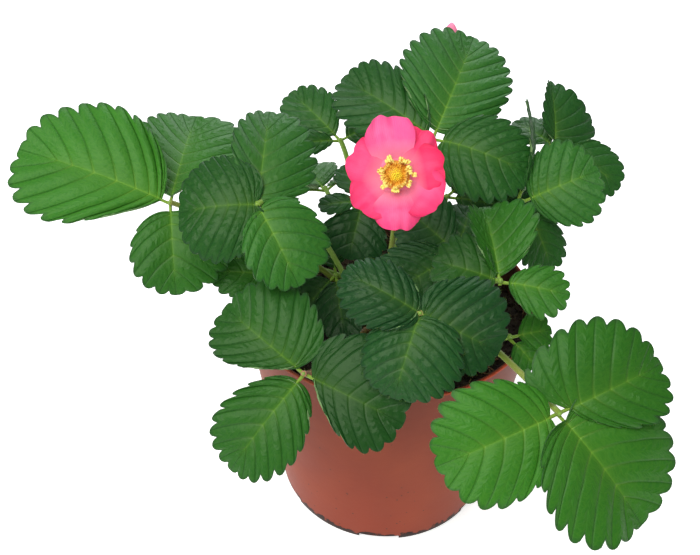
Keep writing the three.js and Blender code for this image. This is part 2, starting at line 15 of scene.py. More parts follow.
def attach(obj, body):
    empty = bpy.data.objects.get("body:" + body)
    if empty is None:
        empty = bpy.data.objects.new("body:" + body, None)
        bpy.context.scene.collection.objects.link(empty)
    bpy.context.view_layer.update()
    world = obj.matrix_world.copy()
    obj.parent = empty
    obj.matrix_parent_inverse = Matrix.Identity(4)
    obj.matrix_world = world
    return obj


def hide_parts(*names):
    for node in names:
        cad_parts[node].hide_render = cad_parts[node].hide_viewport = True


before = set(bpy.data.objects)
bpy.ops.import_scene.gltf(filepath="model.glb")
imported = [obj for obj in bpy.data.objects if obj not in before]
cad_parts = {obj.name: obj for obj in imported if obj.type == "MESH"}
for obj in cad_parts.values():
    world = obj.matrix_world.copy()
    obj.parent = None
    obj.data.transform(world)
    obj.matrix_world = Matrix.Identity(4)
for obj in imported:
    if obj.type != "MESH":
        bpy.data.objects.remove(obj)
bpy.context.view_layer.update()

# %% [markdown]
# Sizes on a plant are easiest to say in millimetres, but a scene is in metres. One constant turns the
# first into the second, and vector sizes get a small function.

# %% Millimetres
MM = 0.001


def at(x, y, z):
    """A point given in millimetres."""
    return Vector((x, y, z)) * MM


def heading(azimuth, elevation):
    """The direction that has this azimuth and elevation, in degrees."""
    a = math.radians(azimuth)
    e = math.radians(elevation)
    return Vector((math.cos(e) * math.cos(a), math.cos(e) * math.sin(a), math.sin(e)))


print("10 mm to the right:", at(10, 0, 0), "and straight up:", heading(0, 90))

# %% [markdown]
# The camera stands where the picture was taken from: near the plant and above it, looking down at 38
# degrees. It could be nudged until it looks right, but the pot's rim and foot are known circles, and
# laying the plain model over the picture gives one place, one tilt and one lens.

# %% Camera
CAMERA_PLACE = at(-17.55, -279.65, 336.8)
CAMERA_TILT = 52.1
CAMERA_LENS = 41.14

scene = bpy.context.scene
scene.view_settings.view_transform = "Standard"


def show(name, data):
    """Adds an object to the scene."""
    thing = bpy.data.objects.new(name, data)
    scene.collection.objects.link(thing)
    return thing


def set_camera():
    lens = bpy.data.cameras.new("camera")
    lens.lens = CAMERA_LENS
    camera = show("camera", lens)
    camera.location = CAMERA_PLACE
    camera.rotation_euler = (math.radians(CAMERA_TILT), 0, 0)
    scene.camera = camera
    print("camera:", camera.location, "with a lens of", lens.lens, "mm")


set_camera()

# %% [markdown]
# The real light is soft and comes mainly from above, with a pale gleam on the leaves from behind. A
# picture of a sky could give it, but two large panels do so with a few numbers, and a weak even sky
# fills the shadows.

# %% Light
LIGHT_TARGET = at(0, 0, 130)
SKY_STRENGTH = 0.22
PANEL_SIZE = 1.0
PANELS = {
    "light_above": {"place": (-350, -450, 980), "power": 12.8, "colour": (1.0, 0.99, 0.96)},
    "light_behind": {"place": (150, 900, 800), "power": 8.0, "colour": (0.9, 0.96, 1.0)},
}


def set_light():
    for name, panel in PANELS.items():
        light = bpy.data.lights.new(name, "AREA")
        light.size = PANEL_SIZE
        light.energy = panel["power"]
        light.color = panel["colour"]
        lamp = show(name, light)
        lamp.location = at(*panel["place"])
        lamp.rotation_euler = (LIGHT_TARGET - lamp.location).to_track_quat("-Z", "Y").to_euler()
        print(f"{name}: {light.energy} W at {lamp.location}")
    sky = bpy.data.worlds.new("sky")
    sky.use_nodes = True
    sky.node_tree.nodes["Background"].inputs["Color"].default_value = (1.0, 1.0, 1.0, 1.0)
    sky.node_tree.nodes["Background"].inputs["Strength"].default_value = SKY_STRENGTH
    scene.world = sky


set_light()

# %% [markdown]
# Both the shapes and the paints below follow formulas. Blender holds a formula as a tree of nodes, and
# wiring each sum by hand is long. So a Link stands for the output of a node, and adding or multiplying
# two Links puts the Math node into the tree. The same helper serves Geometry Nodes and materials.


# %% Links
class Link:
    """The output of a node. A sum of links adds the Math node that works it out."""

    def __init__(self, recipe, socket):
        self.recipe = recipe
        self.socket = socket

    def __add__(self, other):
        return self.recipe.math("ADD", self, other)

    def __radd__(self, other):
        return self.recipe.math("ADD", other, self)

    def __sub__(self, other):
        return self.recipe.math("SUBTRACT", self, other)

    def __rsub__(self, other):
        return self.recipe.math("SUBTRACT", other, self)

    def __mul__(self, other):
        return self.recipe.math("MULTIPLY", self, other)

    def __rmul__(self, other):
        return self.recipe.math("MULTIPLY", other, self)

    def __truediv__(self, other):
        return self.recipe.math("DIVIDE", self, other)

    def __pow__(self, other):
        return self.recipe.math("POWER", self, other)

    def __neg__(self):
        return self.recipe.math("MULTIPLY", self, -1.0)

    def __abs__(self):
        return self.recipe.math("ABSOLUTE", self)


# %% [markdown]
# A recipe is the tree that the links belong to. Each call writes down one step: it adds a node, sets it
# and fills its inputs, with a wire for a link and a plain value for the rest. A tree can be wired by
# hand in the editor, but written like this it can be read, changed and built again.


# %% Recipes
class Recipe:
    """A node tree that is written down as a recipe, one step a call."""

    def __init__(self, tree):
        self.tree = tree

    def plug(self, value, socket):
        if isinstance(value, Link):
            self.tree.links.new(value.socket, socket)
        elif value is not None:
            socket.default_value = value

    def node(self, kind, inputs=None, **settings):
        """Adds a node with these settings. Inputs are given by name or number."""
        node = self.tree.nodes.new(kind)
        for setting, value in settings.items():
            setattr(node, setting, value)
        for key, value in (inputs or {}).items():
            self.plug(value, node.inputs[key])
        return node

    def step(self, kind, inputs=None, output=0, **settings):
        """Adds a node and gives the link of one of its outputs."""
        return Link(self, self.node(kind, inputs, **settings).outputs[output])

    def math(self, operation, *values):
        return self.step("ShaderNodeMath", dict(enumerate(values)), operation=operation)

    def vector(self, x=0.0, y=0.0, z=0.0):
        return self.step("ShaderNodeCombineXYZ", {0: x, 1: y, 2: z})

    def split(self, vector):
        node = self.node("ShaderNodeSeparateXYZ", {0: vector})
        return [Link(self, output) for output in node.outputs]

    def vectors(self, operation, *values):
        return self.step("ShaderNodeVectorMath", dict(enumerate(values)), operation=operation)

    def scaled(self, vector, factor):
        return self.step("ShaderNodeVectorMath", {"Vector": vector, "Scale": factor}, operation="SCALE")


# %% [markdown]
# These functions let a formula read as it does on paper. `ramp` is used the most: it fades anything in
# between two limits.


# %% Functions of links
def sine(x):
    return x.recipe.math("SINE", x)


def cosine(x):
    return x.recipe.math("COSINE", x)


def sign(x):
    return x.recipe.math("SIGN", x)


def floor(x):
    return x.recipe.math("FLOOR", x)


def fraction(x):
    return x.recipe.math("FRACT", x)


def exponential(x):
    return x.recipe.math("EXPONENT", x)


def distance(x, y):
    return (x * x + y * y) ** 0.5


def least(x, limit):
    return x.recipe.math("MINIMUM", x, limit)


def most(x, limit):
    return x.recipe.math("MAXIMUM", x, limit)


def ramp(x, low, high):
    """0 below low, 1 above high, and an even slope between."""
    return least(most((x - low) / (high - low), 0.0), 1.0)


# %% [markdown]
# A Geometry Nodes tree with named inputs is like a cutter with dials: one tree grows every leaflet,
# another every stalk. Copying one finished leaflet would be less work, but no two on a plant are alike,
# and a tree can turn out each with its own sizes. The helper has a call for each thing that the trees
# below do more than once.

# %% Trees with dials
SOCKETS = {
    float: "NodeSocketFloat",
    int: "NodeSocketInt",
    Vector: "NodeSocketVector",
    bpy.types.Material: "NodeSocketMaterial",
}


class Cutter(Recipe):
    """A Geometry Nodes tree whose inputs are named sizes with their first values."""

    def __init__(self, name, sizes):
        super().__init__(bpy.data.node_groups.new(name, "GeometryNodeTree"))
        faces = self.tree.interface
        for label, value in {**sizes, "Material": bpy.types.Material}.items():
            kind = value if isinstance(value, type) else type(value)
            socket = faces.new_socket(label, in_out="INPUT", socket_type=SOCKETS[kind])
            if kind is value:
                continue
            socket.default_value = value
        faces.new_socket("Geometry", in_out="OUTPUT", socket_type="NodeSocketGeometry")
        self.inputs = self.tree.nodes.new("NodeGroupInput").outputs

    def size(self, label):
        return Link(self, self.inputs[label])

    def join(self, *parts):
        node = self.tree.nodes.new("GeometryNodeJoinGeometry")
        for part in reversed(parts):
            self.tree.links.new(part.socket, node.inputs[0])
        return Link(self, node.outputs[0])

    def place(self, mesh, position):
        return self.step("GeometryNodeSetPosition", {"Geometry": mesh, "Position": position})

    def weld(self, mesh, reach):
        """Makes one point of those that lie within this reach of each other."""
        return self.step("GeometryNodeMergeByDistance", {"Geometry": mesh, "Distance": reach})

    def luck(self, low, high, seed=0):
        """A random number for each point, or a random vector where the limits are vectors."""
        inputs = {"Min": low, "Max": high, "Seed": seed}
        if isinstance(low, tuple):
            return self.step("FunctionNodeRandomValue", inputs, 0, data_type="FLOAT_VECTOR")
        return self.step("FunctionNodeRandomValue", inputs, 1)

    def turn(self, x, y, z):
        return self.step("FunctionNodeEulerToRotation", {0: self.vector(x, y, z)})

    def dots(self, count):
        """This many points at the origin, for a formula to place."""
        return self.step("GeometryNodeMeshLine", {"Count": count, "Offset": (0.0, 0.0, 0.0)})

    def scattered(self, mesh, density, selection=True, seed=0):
        """Random points on a mesh, and the turns that stand a shape upright on it there."""
        inputs = {"Mesh": mesh, "Selection": selection, "Density": density, "Seed": seed}
        node = self.node("GeometryNodeDistributePointsOnFaces", inputs)
        return Link(self, node.outputs["Points"]), Link(self, node.outputs["Rotation"])

    def copies(self, points, shape, turn, size=(1.0, 1.0, 1.0), selection=True):
        """Real copies of a shape on points."""
        inputs = {"Points": points, "Selection": selection, "Instance": shape}
        inputs |= {"Rotation": turn, "Scale": size}
        placed = self.step("GeometryNodeInstanceOnPoints", inputs)
        return self.step("GeometryNodeRealizeInstances", {0: placed})

    def ring(self, sides):
        return self.step("GeometryNodeCurvePrimitiveCircle", {"Resolution": sides, "Radius": 1.0})

    def rod(self, line, ring, radius):
        """A closed rod along a line, as thick as the ring times the radius."""
        inputs = {"Curve": line, "Profile Curve": ring, "Scale": radius, "Fill Caps": True}
        return self.step("GeometryNodeCurveToMesh", inputs)

    def keep(self, mesh, label, value, kind="FLOAT", domain="POINT"):
        """Keeps a value on the mesh under a name, for its paint to read."""
        settings = {"data_type": kind, "domain": domain}
        return self.step("GeometryNodeStoreNamedAttribute", {0: mesh, 2: label, 3: value}, **settings)

    def serve(self, mesh):
        """The last steps: real meshes for every copy, and the material."""
        real = self.step("GeometryNodeRealizeInstances", {0: mesh})
        inputs = {"Geometry": real, "Material": self.size("Material")}
        painted = self.step("GeometryNodeSetMaterial", inputs)
        output = self.tree.nodes.new("NodeGroupOutput")
        self.tree.links.new(painted.socket, output.inputs[0])
        print(f"{self.tree.name} cutter: {len(self.tree.nodes)} nodes")


# %% [markdown]
# `grow` sets a cutter's dials on an empty object, evaluates it once and keeps the plain mesh, so nothing
# live is left on the pieces. A modifier knows its dials by their sockets' identifiers and not by their
# names, so they are looked up first.


# %% Growing a mesh
def grow(cutter, material, **sizes):
    """Sets a cutter's dials and gives the mesh that it makes."""
    dials = {label.replace("_", " ").title(): value for label, value in sizes.items()}
    dials["Material"] = material
    holder = show("holder", bpy.data.meshes.new("holder"))
    modifier = holder.modifiers.new("cutter", "NODES")
    modifier.node_group = cutter.tree
    for item in cutter.tree.interface.items_tree:
        if item.in_out == "INPUT" and item.name in dials:
            value = dials.pop(item.name)
            modifier[item.identifier] = tuple(value) if isinstance(value, Vector) else value
    if dials:
        raise ValueError(f"{cutter.tree.name} has no dial named {sorted(dials)}")
    depsgraph = bpy.context.evaluated_depsgraph_get()
    evaluated = holder.evaluated_get(depsgraph)
    mesh = bpy.data.meshes.new_from_object(evaluated, preserve_all_data_layers=True, depsgraph=depsgraph)
    bpy.data.objects.remove(holder)
    return mesh


# %% [markdown]
# Every finished piece is one mesh at the origin that rides on the plant. `finished` joins the meshes
# that belong to a piece, hangs it on the plant's root, hides the plain nodes that it stands for, and
# prints its size, so that a slip shows at once.


# %% Finished pieces
def finished(name, meshes, nodes):
    """Joins meshes into one piece that stands for these nodes."""
    parts = [show(name, mesh) for mesh in meshes]
    piece = parts[0]
    if len(parts) > 1:
        with bpy.context.temp_override(active_object=piece, selected_editable_objects=parts):
            bpy.ops.object.join()
    piece.data.name = name
    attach(piece, "root")
    if nodes:
        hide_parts(*nodes)
    triangles = sum(len(polygon.vertices) - 2 for polygon in piece.data.polygons)
    print(f"{name}: {triangles} triangles, {[round(side / MM) for side in piece.dimensions]} mm")
    return piece


# %% [markdown]
# A paint starts from Blender's Principled shader. Its colour, roughness and bump come from formulas on
# the mesh's own values or on object coordinates; what is the same all over is set on the shader itself.
# Pictures could be laid on the pieces instead, but a formula stays sharp however near one looks.


# %% Paints
def colour(code):
    """The colour with this sRGB code, such as '3f7a2c', as Blender's linear values."""
    shares = [int(code[i : i + 2], 16) / 255 for i in (0, 2, 4)]
    return tuple(c / 12.92 if c <= 0.04045 else ((c + 0.055) / 1.055) ** 2.4 for c in shares) + (1.0,)


class Paint(Recipe):
    """A material whose colour, roughness and bump are written as formulas."""

    def __init__(self, name, **constants):
        self.material = bpy.data.materials.new(name)
        self.material.use_nodes = True
        super().__init__(self.material.node_tree)
        self.shader = self.tree.nodes["Principled BSDF"]
        for label, value in constants.items():
            self.shader.inputs[label.replace("_", " ")].default_value = value

    def value(self, label):
        """A number kept on the mesh under this name."""
        return self.step("ShaderNodeAttribute", output=2, attribute_name=label)

    def spot(self):
        return self.step("ShaderNodeTexCoord", output=3)

    def noise(self, scale, detail=3.0, where=None):
        inputs = {"Vector": where or self.spot(), "Scale": scale, "Detail": detail}
        return self.step("ShaderNodeTexNoise", inputs)

    def cells(self, scale, feature="F1", where=None):
        inputs = {"Vector": where or self.spot(), "Scale": scale}
        return self.step("ShaderNodeTexVoronoi", inputs, feature=feature)

    def mix(self, share, first, second):
        """The second colour over the first, by this share. A colour may be given by its code."""
        first = colour(first) if isinstance(first, str) else first
        second = colour(second) if isinstance(second, str) else second
        return self.step("ShaderNodeMix", {0: share, 6: first, 7: second}, 2, data_type="RGBA")

    def finish(self, base, roughness, bump=None):
        """Sets the colour and roughness. Bump is a height in metres."""
        self.plug(base, self.shader.inputs["Base Color"])
        self.plug(roughness, self.shader.inputs["Roughness"])
        if bump:
            inputs = {"Height": bump, "Distance": 1.0, "Strength": 1.0}
            self.plug(self.step("ShaderNodeBump", inputs), self.shader.inputs["Normal"])
        print(f"{self.material.name} paint: {len(self.tree.nodes)} nodes")
        return self.material


# %% [markdown]
# The floor is a plain pale sheet that glows a little, so it is as white as the picture's ground and
# still takes a soft shadow. It is part of the stage, not of the plant.

# %% Floor
FLOOR_HALF = 3.0


def paint_floor():
    paint = Paint("pale_floor", Emission_Strength=0.6, Specular_IOR_Level=0.1)
    paint.shader.inputs["Emission Color"].default_value = colour("ffffff")
    return paint.finish(colour("fafafa"), 0.9)


def lay_floor():
    half = FLOOR_HALF
    corners = [(-half, -half, 0), (half, -half, 0), (half, half, 0), (-half, half, 0)]
    sheet = bpy.data.meshes.new("floor")
    sheet.from_pydata(corners, [], [(0, 1, 2, 3)])
    sheet.materials.append(paint_floor())
    show("floor", sheet)


lay_floor()

# %% [markdown]
# The leaf paint. A strawberry leaf is yellow-green along its midrib, more so near the stalk, and its
# side veins lie in grooves, painted darker as shade, that turn yellow-green close to the midrib. The
# mesh brings the values that the paint needs: `tone` says how light the leaf is and `cool` how bluish,
# partly the leaf's own hue and partly a painted sheen, `under` marks its lower face, `rib` its midrib,
# and the map `blade` counts the side veins along the leaf and gives the millimetres from the midrib.
# Side veins lie at the halves. Finer veins are a net of cells that raises the surface by a tenth of a
# millimetre or two: as mesh they would take millions of faces.

# %% Leaf paint
WARM_DARK = "124010"
WARM_LIGHT = "3a821e"
COOL_SHEENED_DARK = "10381a"
COOL_SHEENED_LIGHT = "2e6c2e"
LEAF_VEIN = "84b43a"
LEAF_SHADE = "0a2c14"
LEAF_EDGE = "22362a"
LEAF_UNDER = "6a8c58"
UNDER_VEIN = "98b080"
RIB_GREEN = "7c9c38"
LEAF_SHEEN = (0.85, 1.0, 0.75, 1.0)
NET_CELL = 1.7
NET_DARK_LEAF = 0.06 * MM
NET_LIGHT_LEAF = 0.14 * MM
GRAIN_HEIGHT = 0.03 * MM
VEIN_SINK = 0.14 * MM


def paint_leaf():
    paint = Paint("leaf_green", Specular_IOR_Level=0.24, Specular_Tint=LEAF_SHEEN)
    phase, from_rib, _ = paint.split(paint.step("ShaderNodeUVMap", uv_map="blade"))
    across = paint.value("across")
    tone = paint.value("tone")
    spacing = paint.value("spacing")
    along = paint.value("along")
    to_vein = abs(fraction(phase) - 0.5) * spacing
    side_vein = (1.0 - ramp(to_vein, 0.02, 0.4)) * ramp(along, 0.02, 0.2)
    where = paint.vector(phase * spacing / NET_CELL, from_rib / NET_CELL, tone * 40.0)
    net = paint.cells(1.0, "DISTANCE_TO_EDGE", where)
    net_line = 1.0 - ramp(net, 0.02, 0.2)
    blotch = paint.noise(45.0, 4.0)
    grain = paint.noise(1100.0, 2.0)
    warm = paint.mix(tone, WARM_DARK, WARM_LIGHT)
    # `cool` mixes in a bluish-grey green, partly the leaf's own hue and partly a painted sheen.
    cool = paint.mix(tone, COOL_SHEENED_DARK, COOL_SHEENED_LIGHT)
    green = paint.mix(paint.value("cool"), warm, cool)
    shaded = paint.mix(ramp(blotch, 0.3, 0.75) * 0.2, green, LEAF_SHADE)
    netted = paint.mix(net_line * (0.01 + 0.05 * tone), shaded, LEAF_VEIN)
    near_rib = (1.0 - across) * (1.0 - across)
    washed = paint.mix(near_rib**1.5 * (0.03 + 0.08 * tone), netted, LEAF_VEIN)
    # Painted shade: the side veins are darkened as if shaded in their grooves.
    groove_shaded = paint.mix(side_vein * 0.25, washed, LEAF_SHADE)
    branch = side_vein * near_rib**3.0 * (1.0 - along * 0.6) * (0.1 + 0.7 * tone)
    veined = paint.mix(branch, groove_shaded, LEAF_VEIN)
    rib = exponential(from_rib * -1.8) * (1.0 - along * 0.8) * (0.3 + 0.65 * tone)
    upper = paint.mix(rib * 0.9, veined, LEAF_VEIN)
    edged = paint.mix(ramp(across, 0.93, 1.0) * 0.5, upper, LEAF_EDGE)
    lower = paint.mix(side_vein * 0.5 + net_line * 0.12, LEAF_UNDER, UNDER_VEIN)
    faced = paint.mix(paint.value("under"), edged, lower)
    ribbed = paint.mix(paint.value("rib"), faced, RIB_GREEN)
    roughness = 0.32 + 0.06 * tone + 0.14 * blotch + 0.25 * paint.value("under")
    bump = net * (NET_DARK_LEAF + NET_LIGHT_LEAF * tone) + grain * GRAIN_HEIGHT
    return paint.finish(ribbed, roughness, bump + side_vein * -VEIN_SINK)


leaf_green = paint_leaf()

# %% [markdown]
# A leaflet's outline swells from its base and closes at its tip, as x to a power times (1 - x) to
# another. Its edge is cut into teeth, each fed by a side vein, and between the veins the blade stands
# up in soft pleats. Sculpting would give one such leaflet, and the plant has 57. But all of it follows
# a rule, as it does in the plain model, so a tree works it out on a grid, and these are its dials.

# %% Leaflet sizes
TOOTH_FADE = 0.1
TOOTH_DEPTH = 0.072
DEEPEST_NOTCH = 0.5
ROUNDING = 0.6
TOOTH_LEAN = 1.25
VEIN_SHARE = 0.76
VEIN_BOW = 0.19
LOBE_FADE = 6.0
RIB_ROUND = 2 * MM
PLEAT = 0.026
PLEAT_POWER = 0.6
TIP_SHALLOW = 0.35
SWAY = 4 * MM
RUNG_HEIGHT = 0.1 * MM
PUCKER_HEIGHT = 0.35 * MM
FLUTTER = 3 * MM
RIB_GROOVE = 0.45 * MM
LEAFLET_START = 3.4 * MM
BLADE = 0.4 * MM
RIB_BASE = 0.6 * MM
RIB_END = 0.12 * MM
RIB_DROP = 0.35 * MM
RIB_SHARE = 0.85
EDGE_START = 0.995
EDGE_HAIR = 0.9 * MM
EDGE_HAIR_WIDTH = 0.035 * MM
SAME_POINT = 0.0002 * MM
PLAIN_ROWS = 6
ROWS_PER_TOOTH = 8
COLUMNS = 16
LEAFLET_SIZES = {
    "Length": 0.05,
    "Width": 0.045,
    "Teeth": 8,
    "Plain": 0.22,
    "Teeth Depth": 1.0,
    "Arch": 0.5,
    "Wedge": 0.7,
    "Tip": 0.48,
    "Lean": 0.0,
    "Skew": 0.0,
    "Lobe Left": 0.0,
    "Lobe Right": 0.0,
    "Vein Power": 2.4,
    "Fold": 0.3,
    "Cup": 0.3,
    "Pleat": 0.6,
    "Pucker": 1.0,
    "Wave": 0.0,
    "Tone": 0.5,
    "Cool": 0.5,
    "Seed": 0.0,
    "Hairs": 0.0,
}

# %% [markdown]
# On the grid `t` runs from base to tip and `u` from edge to edge. At the base and the tip the last row
# folds on itself, and nothing there may differ from left to right, or the blade would be left open. The
# formula is worked out for a flat leaflet, and `arched` bends it along its midrib at the end.


# %% Leaflet grid
def blade_grid(cut):
    """The grid that a blade is bent from, with its t from base to tip and u from edge to edge.

    Its rows meet every notch and every tooth's point.
    """
    toothed = (cut.size("Teeth") + 0.5) * ROWS_PER_TOOTH
    plain = cut.size("Plain")
    rows = toothed + float(PLAIN_ROWS)
    inputs = {"Size X": 1.0, "Size Y": 1.0, "Vertices X": 2 * COLUMNS + 1, "Vertices Y": rows + 1.0}
    grid = cut.node("GeometryNodeMeshGrid", inputs)
    side, share, _ = cut.split(Link(cut, grid.outputs["UV Map"]))
    row = share * rows
    t = least(row / float(PLAIN_ROWS), 1.0) * plain
    t = t + most(row - float(PLAIN_ROWS), 0.0) / toothed * (1.0 - plain)
    even = 1.0 - 2.0 * side
    return Link(cut, grid.outputs["Mesh"]), t, sign(even) * abs(even) ** 1.2


def arched(cut, x, y, z):
    """Moves a flat leaflet's point onto the arch of its midrib."""
    length = cut.size("Length")
    half_arch = cut.size("Arch") / 2
    bend = length / (2 * sine(half_arch))
    angle = cut.size("Arch") * (x / length - 0.5)
    return cut.vector(
        (bend + z) * sine(angle) + bend * sine(half_arch),
        y,
        (bend + z) * cosine(angle) - bend * cosine(half_arch),
    )


def random_from(cut, number):
    """A number from 0 to 1 that looks random and is the same each time."""
    return cut.step("ShaderNodeTexWhiteNoise", {"W": number}, noise_dimensions="1D")


# %% [markdown]
# A leaf is thin, but a sheet with no thickness has no lower face to paint. Extruding the sheet gives it
# one, with an edge all round: the lower face follows the upper one, so the veins stand proud below. The
# scales, petals and sepals are closed in the same way.


# %% Closed sheets
def thicken(cut, upper, thickness):
    """Gives a sheet a lower side and an edge, so that it is closed."""
    inputs = {"Mesh": upper, "Offset Scale": -thickness, "Individual": False}
    below = cut.node("GeometryNodeExtrudeMesh", inputs)
    lower, low_face, edge_face = (Link(cut, output) for output in below.outputs)
    lower = cut.keep(lower, "under", low_face, domain="FACE")
    lower = cut.step("GeometryNodeFlipFaces", {"Mesh": lower})
    flat = {"Geometry": lower, "Selection": edge_face, "Shade Smooth": False}
    lower = cut.step("GeometryNodeSetShadeSmooth", flat)
    return cut.weld(cut.join(upper, lower), SAME_POINT)


# %% [markdown]
# Under the blade runs its midrib, a tapering rod that ends in the leaflet's own short stalk, and pale
# hairs stand out from the edge. Blender has hair curves, but a part has to be solid, and a cone with
# three sides is enough for something so fine.


# %% Ribs and hairs
def hairs_on(cut, mesh, selection, turn, length, thickness):
    """Fine tapering hairs on the points of a mesh or cloud."""
    inputs = {"Vertices": 3, "Radius Top": 0.0, "Radius Bottom": thickness, "Depth": length}
    hair = cut.step("GeometryNodeMeshCone", inputs)
    hairs = cut.copies(mesh, hair, turn, cut.luck(0.5, 1.2), selection)
    return cut.keep(hairs, "rib", 1.0)


def fringe(cut, blade, across):
    """Pale hairs that stand out from the edge of a leaflet."""
    inputs = {"A": across, "B": EDGE_START}
    edge = cut.step("FunctionNodeCompare", inputs, operation="GREATER_THAN")
    inputs = {"A": cut.luck(0.0, 1.0), "B": cut.size("Hairs")}
    picked = cut.step("FunctionNodeCompare", inputs, operation="LESS_THAN")
    both = cut.step("FunctionNodeBooleanMath", {0: edge, 1: picked}, operation="AND")
    side = sign(cut.split(cut.step("GeometryNodeInputPosition"))[1])
    sway = cut.luck((-0.4, -0.3, -0.5), (0.6, 0.3, 0.3))
    out = cut.vectors("ADD", cut.vector(0.5, side, -0.1), sway)
    turn = cut.step("FunctionNodeAlignRotationToVector", {"Vector": out}, axis="Z")
    return hairs_on(cut, blade, both, turn, EDGE_HAIR, EDGE_HAIR_WIDTH)


def midrib(cut):
    """The rib under the blade, with the short stalk that joins it to the other leaflets."""
    length = cut.size("Length")
    line = cut.step("GeometryNodeCurvePrimitiveLine", {"Start": (0, 0, 0), "End": (1, 0, 0)})
    line = cut.step("GeometryNodeResampleCurve", {"Curve": line, "Count": 20})
    share = cut.step("GeometryNodeSplineParameter")
    radius = RIB_BASE * (1.0 - share) + RIB_END
    x = -LEAFLET_START + share * (length * RIB_SHARE + LEAFLET_START)
    line = cut.place(line, arched(cut, x, 0.0, -radius - RIB_DROP))
    bar = cut.keep(cut.rod(line, cut.ring(8), radius), "rib", 1.0)
    return cut.keep(bar, "tone", cut.size("Tone"))


# %% [markdown]
# Now the leaflet itself. First its outline, then the teeth, whose notches draw the edge back along the
# side veins, then the pleats, folds and puckers that lift it, and last the values that the paint reads.


# %% Leaflet cutter
def leaflet_cutter():
    cut = Cutter("leaflet", LEAFLET_SIZES)
    length, width, teeth = cut.size("Length"), cut.size("Width"), cut.size("Teeth")
    plain, seed = cut.size("Plain"), cut.size("Seed")
    grid, t, u = blade_grid(cut)
    side = sign(u)
    across = abs(u)
    along = (1.0 - cosine(math.pi * t)) / 2.0
    power = cut.size("Wedge") * (1.0 - cut.size("Skew") * side)
    tip = cut.size("Tip")
    peak = (power / (power + tip)) ** power * (tip / (power + tip)) ** tip
    swell = along**power * (1.0 - along) ** tip / peak
    half = width / 2.0 * swell

    phase = (t - plain) / (1.0 - plain) * (teeth + 0.5)
    tooth_luck = random_from(cut, floor(phase) + side * 37.0 + seed)
    fade = ramp(t, plain, plain + TOOTH_FADE)
    scallop = abs(sine(math.pi * fraction(phase) ** TOOTH_LEAN)) ** ROUNDING
    notch = (1.0 - scallop) * fade * (0.75 + 0.5 * tooth_luck) * cut.size("Teeth Depth")
    notch = notch * (1.0 - TIP_SHALLOW * along**12.0) * (1.0 - along**300.0)
    root = most(VEIN_SHARE * length * along ** cut.size("Vein Power"), MM)
    forward = along * length - root
    vein = most(distance(forward, half), 1e-6)
    reach = 1.0 - least(TOOTH_DEPTH * length / vein * notch, DEEPEST_NOTCH)
    bow = VEIN_BOW * length * across * (1.0 - across) * swell
    lobe = cut.size("Lobe Left") * most(side, 0.0) + cut.size("Lobe Right") * most(-side, 0.0)
    back = lobe * length * across * swell * exponential(along * -LOBE_FADE)
    x = root + forward * reach * across - bow - back
    y = side * half * reach * across * (1.0 + side * cut.size("Lean"))

    flat = cut.vector(x, y, seed)
    sway = cut.step("ShaderNodeTexNoise", {"Vector": flat, "Scale": 90.0, "Detail": 1.0}) - 0.5
    x = x + SWAY * sway * across * (1.0 - across)
    panel_luck = random_from(cut, floor(phase + 0.5) + side * 51.0 + seed)
    panel = abs(cosine(math.pi * phase))
    pleat = PLEAT * cut.size("Pleat") * length * across**PLEAT_POWER * least(swell * 1.5, 1.0)
    pleat = pleat * (1.0 - 0.5 * across**4.0) * ramp(along, 0.02, 0.2)
    ridge = pleat * (0.6 + 0.7 * panel_luck) * panel
    fold = cut.size("Fold") * (distance(y, RIB_ROUND) - RIB_ROUND)
    cup = cut.size("Cup") * y * y / (width / 2.0)
    rungs = sine(across * vein / MM * 1.6 + panel_luck * 9.0 + 14.0 * sway)
    small = cut.step("ShaderNodeTexNoise", {"Vector": flat, "Scale": 260.0, "Detail": 2.0}) - 0.5
    broad = cut.step("ShaderNodeTexNoise", {"Vector": flat, "Scale": 45.0, "Detail": 0.0}) - 0.5
    relief = (RUNG_HEIGHT * rungs + PUCKER_HEIGHT * small) * cut.size("Pucker")
    relief = relief * ramp(across, 0.05, 0.3) * panel * ramp(along, 0.0, 0.02)
    apart = side * 1.3 * sine(math.pi * along)
    wave = cut.size("Wave") * across * across * sine(along * 7.0 + seed * 2.0 + apart)
    wave = wave + FLUTTER * broad * across
    groove = -RIB_GROOVE * exponential(-(y / MM) * (y / MM) * 2.0) * (1.0 - along)
    z = fold - cup + ridge + relief + wave + groove

    upper = cut.place(grid, arched(cut, x, y, z))
    upper = cut.keep(upper, "blade", cut.vector(phase, across * vein / MM, 0.0), "FLOAT2", "CORNER")
    upper = cut.keep(upper, "across", across)
    upper = cut.keep(upper, "along", along)
    upper = cut.keep(upper, "spacing", length / MM / (teeth + 0.5) * (0.6 + 0.5 * across))
    upper = cut.keep(upper, "tone", cut.size("Tone"))
    upper = cut.keep(upper, "cool", cut.size("Cool"))
    upper = cut.weld(upper, SAME_POINT)
    blade = thicken(cut, upper, BLADE)
    cut.serve(cut.join(blade, midrib(cut), fringe(cut, upper, across)))
    return cut


leaflet = leaflet_cutter()
